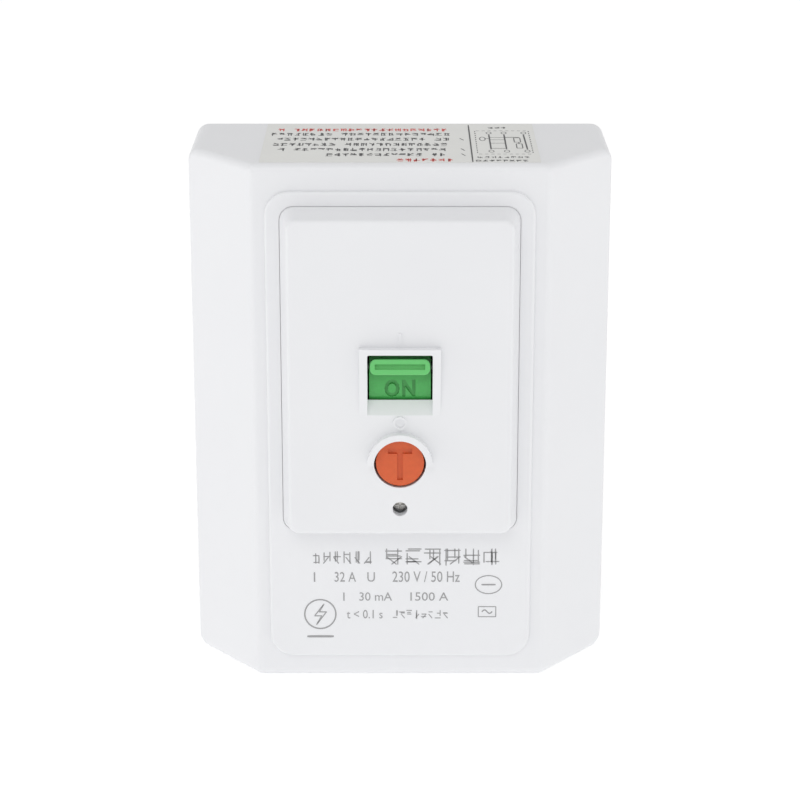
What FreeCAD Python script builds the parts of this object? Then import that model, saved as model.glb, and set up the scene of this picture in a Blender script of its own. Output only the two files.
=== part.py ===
import FreeCAD, Part
import math
import os
import re

import Sketcher

# Residual current device for a wall: a white two-part case with a raised face panel, a rocker,
# a test button and the switching, sensing and tripping parts behind them.
#
# Frame: millimetres, X to the right, Z up, the wall is the plane Y = 0 and the front faces -Y.
# The origin is the middle of the back face. "Depth" is the distance off the wall, so depth = -Y.

SIZES = (
    ("case_width", 88.0),
    ("case_height", 111.5),
    ("case_depth", 41.5),
    ("side_depth", 24.5),
    ("front_width", 60.5),
    ("side_wall", 2.2),
    ("front_wall", 2.4),
    ("side_round", 2.8),
    ("front_round", 1.6),
    ("plate_side_margin", 2.75),
    ("plate_top_margin", 5.45),
    ("plate_low_margin", 4.85),
    ("plate_rise", 1.0),
    ("plate_round", 5.0),
    ("panel_width", 49.0),
    ("panel_length", 69.8),
    ("panel_top_inset", 2.9),
    ("panel_rise", 6.0),
    ("panel_draft", 1.65),
    ("panel_wall", 2.0),
    ("panel_round", 3.0),
    ("panel_face_round", 2.0),
    ("panel_ledge", 3.0),
    ("seat_gap", 0.08),
    ("loose_gap", 0.15),
    ("rocker_drop", 35.4),
    ("window_width", 13.3),
    ("window_above", 6.3),
    ("window_below", 4.25),
    ("scoop_drop", 2.75),
    ("guard_leg", 1.65),
    ("guard_bar", 1.2),
    ("guard_rise", 2.0),
    ("drum_radius", 10.0),
    ("drum_set_back", 1.7),
    ("handle_reach", 14.0),
    ("handle_width", 12.2),
    ("handle_thick", 3.2),
    ("handle_low", 0.25),
    ("handle_round", 1.2),
    ("handle_slot_width", 10.2),
    ("handle_slot_thick", 1.1),
    ("handle_slot_deep", 0.8),
    ("rocker_tilt", 17.0),
    ("rocker_side_gap", 0.35),
    ("link_arm", 7.0),
    ("axle_radius", 1.2),
    ("running_gap", 0.05),
    ("button_drop", 52.7),
    ("button_radius", 4.95),
    ("button_gap", 0.45),
    ("button_set_back", 0.2),
    ("button_flange", 1.2),
    ("letter_wide", 5.0),
    ("letter_high", 6.85),
    ("letter_top", 3.1),
    ("letter_stroke", 1.15),
    ("letter_deep", 0.5),
    ("hood_wall", 1.3),
    ("hood_rise", 2.1),
    ("screw_drop", 62.75),
    ("screw_hole_radius", 1.55),
    ("screw_head_radius", 1.45),
    ("screw_head_high", 1.3),
    ("screw_radius", 0.95),
    ("screw_sink", 4.5),
    ("mark_width", 0.5),
    ("mark_rise", 0.35),
    ("base_floor", 2.5),
    ("rim_wall", 1.8),
    ("rim_high", 12.0),
    ("base_gap", 0.2),
    ("hook_x", 20.0),
    ("hook_half", 4.0),
    ("hook_depth", 6.0),
    ("hook_high", 3.0),
    ("hook_room", 0.3),
    ("wall_hole_pitch", 60.3),
    ("wall_hole_z", -12.0),
    ("wall_hole_radius", 2.2),
    ("cable_width", 36.0),
    ("cable_high", 11.0),
    ("cable_low_margin", 7.75),
    ("grommet_wall", 1.5),
    ("post_radius", 3.5),
    ("post_high", 24.0),
    ("insert_radius", 1.9),
    ("insert_long", 8.0),
    ("terminal_block", 11.0),
    ("terminal_inner_x", 11.0),
    ("terminal_pitch", 14.5),
    ("terminal_margin", 2.0),
    ("wire_bore", 2.4),
    ("clamp_screw_radius", 1.6),
    ("rib_wall", 1.5),
    ("rib_high", 17.0),
    ("frame_inner", 20.0),
    ("frame_wall", 2.0),
    ("frame_floor", 2.5),
    ("frame_below", 22.5),
    ("frame_above", 15.0),
    ("frame_over_axle", 4.0),
    ("foot_reach", 4.0),
    ("foot_half", 3.0),
    ("tie_depth", 28.0),
    ("tie_half", 2.0),
    ("ear_half", 3.5),
    ("carrier_drop", 10.0),
    ("carrier_depth", 11.0),
    ("carrier_hub", 3.4),
    ("carrier_arm", 10.0),
    ("carrier_tilt", 10.0),
    ("contact_drop", 10.0),
    ("contact_x", 6.5),
    ("contact_wide", 4.4),
    ("contact_thick", 1.2),
    ("tip_radius", 1.8),
    ("tip_thick", 1.0),
    ("contact_gap", 0.05),
    ("arc_plate_thick", 0.8),
    ("arc_plate_pitch", 1.7),
    ("arc_plate_reach", 5.5),
    ("arc_plate_depth", 22.0),
    ("arc_plate_half", 4.5),
    ("lead_radius", 1.4),
    ("lead_x", 22.0),
    ("lead_pair_x", 1.8),
    ("lead_bend", 4.5),
    ("braid_radius", 0.85),
    ("core_outer", 8.2),
    ("core_inner", 6.0),
    ("core_high", 5.4),
    ("winding_thick", 0.6),
    ("shell_wall", 1.2),
    ("sensor_gap", 0.2),
    ("sensor_lift", 8.0),
    ("coil_radius", 6.0),
    ("coil_long", 18.6),
    ("bobbin_wall", 0.7),
    ("bobbin_flange", 1.2),
    ("yoke_wall", 1.5),
    ("solenoid_x", 31.5),
    ("plunger_radius", 2.62),
    ("plunger_gap", 0.08),
    ("rod_radius", 1.2),
    ("lever_thick", 2.0),
    ("lever_depth", 20.0),
    ("board_wide", 24.0),
    ("board_long", 36.0),
    ("board_thick", 1.6),
    ("board_depth", 16.4),
    ("link_half", 0.8),
    ("cheek_inner", 1.0),
    ("cheek_outer", 3.0),
    ("cheek_ear", 1.9),
    ("link_ear", 1.8),
    ("arm_ear", 1.7),
    ("pin_radius", 0.8),
    ("open_pivot_gap", 0.5),
    ("stem_radius", 2.0),
    ("stem_tip_radius", 0.8),
    ("stem_long", 6.7),
    ("leaf_gap", 0.4),
    ("leaf_thick", 0.3),
    ("leaf_clear", 3.1),
    ("leaf_pivot_x", 7.0),
    ("spring_seat_gap", 4.7),
    ("press_gap", 0.02),
    ("small_screw", 0.9),
    ("small_head", 1.7),
    ("label_wide", 57.0),
    ("label_thick", 0.15),
    ("spring_wire", 0.35),
    ("button_spring_radius", 3.2),
)

# Lengths and places worked out from the sizes above. Each one names only sizes and other places.
PLACES = {
    "case_top": "case_height / 2",
    "half_width": "case_width / 2",
    "plate_top": "case_top - plate_top_margin",
    "plate_low": "plate_low_margin - case_top",
    "plate_half": "front_width / 2 - plate_side_margin",
    "plate_front": "case_depth + plate_rise",
    "panel_top": "plate_top - panel_top_inset",
    "panel_low": "panel_top - panel_length",
    "panel_half": "panel_width / 2",
    "panel_front": "plate_front + panel_rise",
    "panel_inside": "panel_front - panel_wall",
    "inner_half": "half_width - side_wall",
    "inner_top": "case_top - side_wall",
    "inner_front": "case_depth - front_wall",
    "window_half": "window_width / 2",
    "rocker_z": "panel_top - rocker_drop",
    "rocker_depth": "panel_front - drum_set_back - drum_radius",
    "window_top": "rocker_z + window_above",
    "window_low": "rocker_z - window_below",
    "scoop_low": "window_low - scoop_drop",
    "guard_half": "window_half + guard_leg",
    "guard_top": "window_top + guard_bar",
    "drum_half": "window_half - rocker_side_gap",
    "button_z": "panel_top - button_drop",
    "button_hole": "button_radius + button_gap",
    "button_front": "panel_front - button_set_back",
    "button_stop": "panel_inside - 3.5",
    "flange_radius": "button_hole + 0.9",
    "flange_front": "button_stop - 0.1",
    "flange_back": "flange_front - button_flange",
    "screw_z": "panel_top - screw_drop",
    "screw_seat": "panel_front - screw_sink",
    "base_half": "inner_half - base_gap",
    "base_top": "inner_top - base_gap",
    "rim_half": "base_half - rim_wall",
    "rim_top": "base_top - rim_wall",
    "cable_low": "cable_low_margin - case_top",
    "cable_top": "cable_low + cable_high",
    "terminal_low": "cable_top + terminal_margin",
    "terminal_top": "terminal_low + terminal_block",
    "terminal_front": "base_floor + terminal_block",
    "frame_half": "frame_inner / 2 + frame_wall",
    "frame_high": "rocker_depth + frame_over_axle",
    "frame_low": "rocker_z - frame_below",
    "frame_top": "rocker_z + frame_above",
    "frame_back": "base_floor + frame_floor",
    "carrier_z": "rocker_z - carrier_drop",
    "stem_tip": "flange_back - stem_long",
    "leaf_front": "stem_tip - leaf_gap",
    "leaf_back": "leaf_front - leaf_thick",
    "bridge_front": "leaf_back - leaf_clear",
    "bridge_back": "bridge_front - frame_wall",
    "bridge_top": "frame_low + 9.5",
    "spring_seat": "flange_back - spring_seat_gap",
    "strip_front": "frame_back + contact_thick",
    "fixed_tip": "strip_front + tip_thick + 0.35",
    "moving_tip": "fixed_tip + contact_gap",
    "arm_back": "moving_tip + tip_thick",
    "arm_front": "arm_back + contact_thick",
    "tip_z": "carrier_z - contact_drop",
    "upper_pin_depth": "rocker_depth - link_arm * cos(rocker_tilt)",
    "upper_pin_z": "rocker_z - link_arm * sin(rocker_tilt)",
    "lower_pin_depth": "carrier_depth + carrier_arm * cos(carrier_tilt)",
    "lower_pin_z": "carrier_z - carrier_arm * sin(carrier_tilt)",
    "link_run": "upper_pin_depth - lower_pin_depth",
    "link_climb": "upper_pin_z - lower_pin_z",
    "link_length": "sqrt(link_run ^ 2 + link_climb ^ 2)",
    "winding_outer": "core_outer + winding_thick",
    "winding_inner": "core_inner - winding_thick",
    "winding_high": "core_high + 2 * winding_thick",
    "sensor_half": "winding_outer + sensor_gap + shell_wall",
    "sensor_bore": "winding_inner - sensor_gap - 0.9",
    "lead_depth": "base_floor + sensor_half",
    "sensor_low": "frame_top + sensor_lift",
    "sensor_mouth": "sensor_low + shell_wall + winding_high + sensor_gap",
    "sensor_top": "sensor_mouth + shell_wall",
    "lead_top": "sensor_top + 5.5",
    "bobbin_radius": "coil_radius + 0.5",
    "bobbin_tube": "plunger_radius + plunger_gap + bobbin_wall",
    "solenoid_depth": "base_floor + yoke_wall + bobbin_radius + 0.2",
    "yoke_low": "frame_low + 7",
    "coil_low": "yoke_low + yoke_wall + bobbin_flange",
    "coil_top": "coil_low + coil_long",
    "yoke_top": "coil_top + bobbin_flange + yoke_wall",
    "lever_z": "frame_top + 3.5",
    "rod_tip": "lever_z - lever_thick / 2 - 0.4",
    "plunger_top": "coil_low + 9",
    "core_low": "coil_top - 6",
    "board_left": "-base_half + 3",
    "board_low": "wall_hole_z + 8",
    "board_back": "board_depth - board_thick",
    "flank_run": "half_width - front_width / 2",
    "flank_rise": "case_depth - side_depth",
    "flank_slant": "sqrt(flank_run ^ 2 + flank_rise ^ 2)",
    "inner_side_depth": "side_depth + side_wall * (flank_rise - flank_slant) / flank_run",
    "inner_run": "(flank_run * (inner_front - side_depth) + side_wall * flank_slant) / flank_rise",
    "inner_front_half": "half_width - inner_run",
}

doc = FreeCAD.newDocument("ResidualCurrentDevice")
sheet = doc.addObject("Spreadsheet::Sheet", "Sizes")


def fill_sheet():
    """Write one row for each size: its name and its plain number."""
    for row, (name, number) in enumerate(SIZES, start=1):
        sheet.set(f"A{row}", name)
        sheet.set(f"B{row}", str(number))
        sheet.setAlias(f"B{row}", name)
    doc.recompute()


ALIASES = {name for name, _ in SIZES}


def tie(text):
    """Turn names of sizes and places into an expression on the sheet."""
    def swap(found):
        word = found.group(0)
        if word in PLACES:
            return "(" + tie(PLACES[word]) + ")"
        return "Sizes." + word if word in ALIASES else word
    return re.sub(r"[a-z_]+", swap, str(text))


def value(text):
    """The present number of an expression."""
    return float(sheet.evalExpression(tie(text)))


def bind(item, prop, text):
    item.setExpression(prop, tie(text))


# ---- primitives and booleans -------------------------------------------------------------

TURNS = {
    "x": FreeCAD.Rotation(FreeCAD.Vector(0, 1, 0), 90),
    "front": FreeCAD.Rotation(FreeCAD.Vector(1, 0, 0), 90),
    "z": FreeCAD.Rotation(),
}


def seat(item, x, depth, z):
    """Tie the item's base point to a place."""
    bind(item, "Placement.Base.x", x)
    bind(item, "Placement.Base.y", f"-({depth})")
    bind(item, "Placement.Base.z", z)


def box(label, x, depth, z):
    """A block between two values of x, of depth and of z."""
    item = doc.addObject("Part::Box", label)
    bind(item, "Length", f"({x[1]}) - ({x[0]})")
    bind(item, "Width", f"({depth[1]}) - ({depth[0]})")
    bind(item, "Height", f"({z[1]}) - ({z[0]})")
    seat(item, x[0], depth[1], z[0])
    return item


def middle_box(label, centre_x, half, depth, z):
    """A block centred on a value of x."""
    return box(label, (f"{centre_x} - ({half})", f"{centre_x} + ({half})"), depth, z)


def rod(label, axis, centre, ends, radius):
    """A cylinder along an axis; centre holds the other two of (x, depth, z), in that order."""
    item = doc.addObject("Part::Cylinder", label)
    item.Placement = FreeCAD.Placement(FreeCAD.Vector(), TURNS[axis])
    bind(item, "Radius", radius)
    bind(item, "Height", f"({ends[1]}) - ({ends[0]})")
    spots = {"x": (ends[0], *centre), "front": (centre[0], ends[0], centre[1]), "z": (*centre, ends[0])}
    seat(item, *spots[axis])
    return item


def join(label, pieces):
    item = doc.addObject("Part::MultiFuse", label)
    item.Shapes = pieces
    item.Refine = True
    return item


def cut(label, base, tools):
    item = doc.addObject("Part::Cut", label)
    item.Base = base
    item.Tool = tools[0] if len(tools) == 1 else join(label + "_tools", tools)
    item.Refine = True
    return item


def group(label, pieces):
    """Separate solids that share one node."""
    item = doc.addObject("Part::Compound", label)
    item.Links = pieces
    return item


def tube(label, axis, centre, ends, outer, inner):
    return cut(label, rod(label + "_outer", axis, centre, ends, outer),
               [rod(label + "_bore", axis, centre, ends, inner)])


def screw(label, centre, seat_depth, shank, head):
    """A screw driven from the front; shank and head are (radius, length). The head has a cross slot."""
    top = f"{seat_depth} + ({head[1]})"
    whole = join(label + "_blank", [
        rod(label + "_shank", "front", centre, (f"{seat_depth} - ({shank[1]})", seat_depth), shank[0]),
        rod(label + "_head", "front", centre, (seat_depth, top), head[0])])
    reach, slot = f"({head[0]}) * 0.7", f"({head[0]}) * 0.16"
    depth = (f"{top} - ({head[1]}) * 0.45", f"{top} + 1")
    return cut(label, whole, [
        box(label + "_slot_a", (f"{centre[0]} - {reach}", f"{centre[0]} + {reach}"), depth,
            (f"{centre[1]} - {slot}", f"{centre[1]} + {slot}")),
        box(label + "_slot_b", (f"{centre[0]} - {slot}", f"{centre[0]} + {slot}"), depth,
            (f"{centre[1]} - {reach}", f"{centre[1]} + {reach}"))])


# ---- bodies and sketches -------------------------------------------------------------------

def body(label):
    return doc.addObject("PartDesign::Body", label)


def sketch(part, name, role, offset="0"):
    """A sketch parallel to one of the body's origin planes.

    On XZ_Plane its axes are x and z and the offset is a depth; on YZ_Plane they are y and z and the
    offset is an x; on XY_Plane they are x and y and the offset is a z.
    """
    flat = part.newObject("Sketcher::SketchObject", f"{part.Label}_{name}")
    flat.AttachmentSupport = [(next(f for f in part.Origin.OriginFeatures if f.Role == role), "")]
    flat.MapMode = "FlatFace"
    bind(flat, "AttachmentOffset.Base.z", offset)
    return flat


def pin_value(flat, kind, refs, text):
    """Add a size constraint that follows an expression."""
    index = flat.addConstraint(Sketcher.Constraint(kind, *refs, value(text)))
    flat.renameConstraint(index, f"c{index}")
    flat.setExpression(f"Constraints.c{index}", tie(text))


def outline(flat, points):
    """A closed polygon whose corners are tied to the sketch's origin."""
    first = flat.GeometryCount
    spots = [FreeCAD.Vector(value(u), value(v), 0) for u, v in points]
    count = len(points)
    for i in range(count):
        flat.addGeometry(Part.LineSegment(spots[i], spots[(i + 1) % count]), False)
    for i in range(count):
        flat.addConstraint(Sketcher.Constraint("Coincident", first + i, 2, first + (i + 1) % count, 1))
        pin_value(flat, "DistanceX", (-1, 1, first + i, 1), points[i][0])
        pin_value(flat, "DistanceY", (-1, 1, first + i, 1), points[i][1])


def rounded(flat, u, v, radius):
    """A rectangle between two values of u and two of v, with one corner radius."""
    first = flat.GeometryCount
    left, right, low, high = value(u[0]), value(u[1]), value(v[0]), value(v[1])
    r = value(radius)
    corners = ((right - r, low + r), (right - r, high - r), (left + r, high - r), (left + r, low + r))
    sides = (((left + r, low), (right - r, low)), ((right, low + r), (right, high - r)),
             ((right - r, high), (left + r, high)), ((left, high - r), (left, low + r)))
    axis = FreeCAD.Vector(0, 0, 1)
    for i, (side, corner) in enumerate(zip(sides, corners)):
        flat.addGeometry(Part.LineSegment(*(FreeCAD.Vector(*end, 0) for end in side)), False)
        circle = Part.Circle(FreeCAD.Vector(*corner, 0), axis, r)
        start = math.radians(90 * i - 90)
        flat.addGeometry(Part.ArcOfCircle(circle, start, start + math.pi / 2), False)
    for i in range(8):
        flat.addConstraint(Sketcher.Constraint("Tangent", first + i, 2, first + (i + 1) % 8, 1))
    for i in (0, 4):
        flat.addConstraint(Sketcher.Constraint("Horizontal", first + i))
        flat.addConstraint(Sketcher.Constraint("Vertical", first + i + 2))
    for i in (3, 5, 7):
        flat.addConstraint(Sketcher.Constraint("Equal", first + 1, first + i))
    pin_value(flat, "Radius", (first + 1,), radius)
    pin_value(flat, "DistanceY", (-1, 1, first, 1), v[0])
    pin_value(flat, "DistanceX", (-1, 1, first + 2, 1), u[1])
    pin_value(flat, "DistanceY", (-1, 1, first + 4, 1), v[1])
    pin_value(flat, "DistanceX", (-1, 1, first + 6, 1), u[0])


def ring(flat, u, v, radius):
    """A circle tied to a place."""
    index = flat.addGeometry(Part.Circle(FreeCAD.Vector(value(u), value(v), 0), FreeCAD.Vector(0, 0, 1),
                                         value(radius)), False)
    pin_value(flat, "DistanceX", (-1, 1, index, 3), u)
    pin_value(flat, "DistanceY", (-1, 1, index, 3), v)
    pin_value(flat, "Radius", (index,), radius)


def feature(part, kind, name, flat, length, reverse=False):
    """A pad or a pocket of a sketch, with its length tied to an expression."""
    before = part.Shape.Volume if part.Tip else 0.0
    item = part.newObject("PartDesign::" + kind, f"{part.Label}_{name}")
    item.Profile = flat
    item.Reversed = reverse
    bind(item, "Length", length)
    doc.recompute()
    change = part.Shape.Volume - before
    if (change <= 0) == (kind == "Pad"):
        raise RuntimeError(f"{item.Label} changed nothing")
    return item


def pad(part, name, flat, length, reverse=False):
    return feature(part, "Pad", name, flat, length, reverse)


def pocket(part, name, flat, length, reverse=False):
    return feature(part, "Pocket", name, flat, length, reverse)


def round_edges(part, name, radius, wanted):
    """Fillet the edges of the tip that a test picks."""
    tip = part.Tip
    names = [f"Edge{i}" for i, edge in enumerate(tip.Shape.Edges, start=1) if wanted(edge)]
    if not names:
        raise RuntimeError(f"{part.Label} has no edge for {name}")
    item = part.newObject("PartDesign::Fillet", f"{part.Label}_{name}")
    item.Base = (tip, names)
    bind(item, "Radius", radius)
    doc.recompute()
    return item


def straight(edge, axis):
    """Whether an edge is a straight line along one axis."""
    if edge.Curve.TypeId != "Part::GeomLine":
        return False
    return abs(abs(getattr(edge.Curve.Direction, axis)) - 1) < 1e-6


def middle(edge):
    return edge.BoundBox.Center


def near(number, text):
    return abs(number - value(text)) < 0.01


# ---- paths for wires and springs ---------------------------------------------------------

def spot(x, depth, z):
    return FreeCAD.Vector(value(x), -value(depth), value(z))


def bent_wire(points, bend):
    """Straight runs through the points, joined by tangent arcs of one radius."""
    edges = []
    start = points[0]
    for before, corner, after in zip(points, points[1:], points[2:]):
        into = (corner - before).normalize()
        out = (after - corner).normalize()
        turn = into.getAngle(out)
        setback = bend * math.tan(turn / 2)
        first, last = corner - into * setback, corner + out * setback
        bisector = (out - into).normalize()
        centre = corner + bisector * (bend / math.cos(turn / 2))
        edges.append(Part.LineSegment(start, first).toShape())
        edges.append(Part.Arc(first, centre - bisector * bend, last).toShape())
        start = last
    edges.append(Part.LineSegment(start, points[-1]).toShape())
    return Part.Wire(edges)


def swept(label, path, radius):
    """A round bar swept along a path."""
    edge = path.Edges[0]
    start = edge.firstVertex().Point if edge.Orientation == "Forward" else edge.lastVertex().Point
    along = edge.tangentAt(edge.FirstParameter)
    circle = Part.Wire([Part.makeCircle(radius, start, along)])
    item = doc.addObject("Part::Feature", label)
    item.Shape = path.makePipeShell([circle], True, True)
    return item


def coil(label, centre, radius, wire, length, turns, turn=FreeCAD.Rotation()):
    """A helical spring from a centre, along z before it is turned, with one face for each turn."""
    helix = Part.makeLongHelix(length / turns, length, radius)
    start = helix.Edges[0].FirstParameter
    section = Part.makeCircle(wire, helix.Edges[0].valueAt(start), helix.Edges[0].tangentAt(start))
    item = doc.addObject("Part::Feature", label)
    item.Shape = Part.Wire(helix.Edges).makePipeShell([Part.Wire([section])], True, True)
    item.Placement = FreeCAD.Placement(centre, turn)
    return item


def about(centre, half):
    """The two ends of a stretch centred on a place."""
    return (f"{centre} - ({half})", f"{centre} + ({half})")


def even(half):
    return (f"-({half})", half)


# ---- case -----------------------------------------------------------------------------------

def front_cover():
    """The white shell: straight sides, sloped flanks, a raised plate and the window behind the panel."""
    part = body("front_cover")
    profile = sketch(part, "profile", "XY_Plane", "-case_top")
    outline(profile, (("half_width", "0"), ("half_width", "-side_depth"),
                      ("front_width / 2", "-case_depth"), ("-front_width / 2", "-case_depth"),
                      ("-half_width", "-side_depth"), ("-half_width", "0")))
    pad(part, "block", profile, "case_height")
    corners = sketch(part, "corners", "XZ_Plane", "case_depth")
    rounded(corners, even("half_width + 1"), even("case_top + 1"), "0.5")
    rounded(corners, even("half_width"), even("case_top"), "side_round")
    pocket(part, "round_corners", corners, "case_depth")
    round_edges(part, "rims", "front_round",
                lambda edge: straight(edge, "z") and middle(edge).y < -1
                or straight(edge, "x") and near(-middle(edge).y, "case_depth"))
    hollow = sketch(part, "hollow", "XY_Plane", "inner_top")
    outline(hollow, (("inner_half", "1"), ("inner_half", "-inner_side_depth"),
                     ("inner_front_half", "-inner_front"), ("-inner_front_half", "-inner_front"),
                     ("-inner_half", "-inner_side_depth"), ("-inner_half", "1")))
    pocket(part, "cavity", hollow, "2 * inner_top")
    plate = sketch(part, "plate", "XZ_Plane", "case_depth")
    rounded(plate, even("plate_half"), ("plate_low", "plate_top"), "plate_round")
    pad(part, "raised_plate", plate, "plate_rise")
    round_edges(part, "plate_edge", "plate_rise * 0.6",
                lambda edge: near(-middle(edge).y, "plate_front") and edge.Length > 1)
    rebate = sketch(part, "rebate", "XZ_Plane", "plate_front")
    rounded(rebate, even("panel_half"), ("panel_low", "panel_top"), "panel_round")
    pocket(part, "panel_seat", rebate, "plate_rise")
    opening = sketch(part, "opening", "XZ_Plane", "case_depth")
    rounded(opening, even("panel_half - panel_ledge"),
            ("panel_low + panel_ledge", "panel_top - panel_ledge"), "panel_round")
    pocket(part, "window", opening, "front_wall + 1")
    for name, side in (("left", "-"), ("right", "")):
        lug = sketch(part, f"{name}_lug", "XZ_Plane", "hook_depth")
        rounded(lug, about(f"{side}hook_x", "hook_half"), ("rim_top + base_gap", "inner_top + 0.5"), "0.3")
        pad(part, f"{name}_hook", lug, "hook_high")


def face_panel():
    """The raised front panel with the rocker window, its guard and scoop, and the button hood."""
    part = body("face_panel")
    edge_half, edge_low, edge_top = "panel_half - seat_gap", "panel_low + seat_gap", "panel_top - seat_gap"
    foot = sketch(part, "foot", "XZ_Plane", "case_depth")
    rounded(foot, even(edge_half), (edge_low, edge_top), "panel_round - seat_gap")
    pad(part, "seat", foot, "plate_rise")
    base = sketch(part, "base", "XZ_Plane", "plate_front")
    rounded(base, even(edge_half), (edge_low, edge_top), "panel_round - seat_gap")
    face = sketch(part, "face", "XZ_Plane", "panel_front")
    rounded(face, even("panel_half - panel_draft"),
            ("panel_low + panel_draft", "panel_top - panel_draft"), "panel_face_round")
    loft = part.newObject("PartDesign::AdditiveLoft", "face_panel_walls")
    loft.Profile = base
    loft.Sections = [face]
    loft.Ruled = True
    doc.recompute()
    round_edges(part, "face_edge", "panel_wall * 0.4",
                lambda edge: near(-middle(edge).y, "panel_front"))
    hollow = sketch(part, "hollow", "XZ_Plane", "case_depth")
    inner = "panel_draft + panel_wall"
    rounded(hollow, even(f"panel_half - ({inner})"),
            (f"panel_low + {inner}", f"panel_top - ({inner})"), "panel_round")
    pocket(part, "cavity", hollow, "panel_inside - case_depth", reverse=True)
    guard = sketch(part, "guard", "YZ_Plane", "-guard_half")
    outline(guard, (("-panel_front + 0.5", "guard_top"), ("-panel_front + 0.5", "scoop_low"),
                    ("-panel_front", "scoop_low"), ("-panel_front - guard_rise", "guard_top")))
    pad(part, "rocker_guard", guard, "2 * guard_half")
    opening = sketch(part, "opening", "XZ_Plane", "panel_front + guard_rise + 1")
    rounded(opening, even("window_half"), ("window_low", "window_top"), "0.4")
    pocket(part, "rocker_window", opening, "guard_rise + panel_wall + 2")
    scoop = sketch(part, "scoop", "YZ_Plane", "window_half")
    outline(scoop, (("-panel_inside", "window_low"), ("-panel_front", "scoop_low"),
                    ("-panel_front - 1", "scoop_low"), ("-panel_front - 1", "window_low + 0.5"),
                    ("-panel_inside", "window_low + 0.5")))
    pocket(part, "finger_scoop", scoop, "window_width")
    boss = sketch(part, "boss", "XZ_Plane", "button_stop")
    ring(boss, "0", "button_z", "flange_radius")
    pad(part, "button_boss", boss, "panel_inside - button_stop")
    hood = sketch(part, "hood", "XZ_Plane", "panel_front")
    ring(hood, "0", "button_z", "button_hole + hood_wall")
    ring(hood, "0", "button_z", "button_hole")
    pad(part, "button_hood", hood, "hood_rise")
    lower = sketch(part, "lower", "XZ_Plane", "panel_front + hood_rise + 1")
    reach = "button_hole + hood_wall + 1"
    outline(lower, ((f"-({reach})", f"button_z - ({reach})"), (reach, f"button_z - ({reach})"),
                    (reach, "button_z"), (f"-({reach})", "button_z")))
    pocket(part, "open_hood", lower, "hood_rise + 1")
    hole = sketch(part, "hole", "XZ_Plane", "panel_front + 1")
    ring(hole, "0", "button_z", "button_hole")
    pocket(part, "button_hole", hole, "panel_front - button_stop + 2")
    post = sketch(part, "post", "XZ_Plane", "post_high")
    ring(post, "0", "screw_z", "screw_hole_radius + 1.6")
    pad(part, "screw_boss", post, "panel_inside - post_high")
    view = sketch(part, "view", "XZ_Plane", "panel_inside")
    rounded(view, even("screw_hole_radius"), ("screw_z - post_radius", "screw_z"), "0.2")
    pocket(part, "boss_window", view, "panel_inside - screw_seat")
    head = sketch(part, "head", "XZ_Plane", "panel_front + 1")
    ring(head, "0", "screw_z", "screw_hole_radius")
    pocket(part, "screw_recess", head, "screw_sink + 1")
    shank = sketch(part, "shank", "XZ_Plane", "screw_seat + 1")
    ring(shank, "0", "screw_z", "screw_radius + loose_gap")
    pocket(part, "screw_hole", shank, "screw_seat - post_high + 2")
    on_mark = sketch(part, "on_mark", "XZ_Plane", "panel_front - 0.1")
    rounded(on_mark, even("mark_width / 2"), ("guard_top + 0.7", "guard_top + 3"), "0.1")
    pad(part, "line_mark", on_mark, "mark_rise + 0.1")
    off_mark = sketch(part, "off_mark", "XZ_Plane", "panel_front - 0.1")
    ring(off_mark, "0", "scoop_low - 1.7", "1.45")
    ring(off_mark, "0", "scoop_low - 1.7", "1.45 - mark_width")
    pad(part, "round_mark", off_mark, "mark_rise + 0.1")


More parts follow.
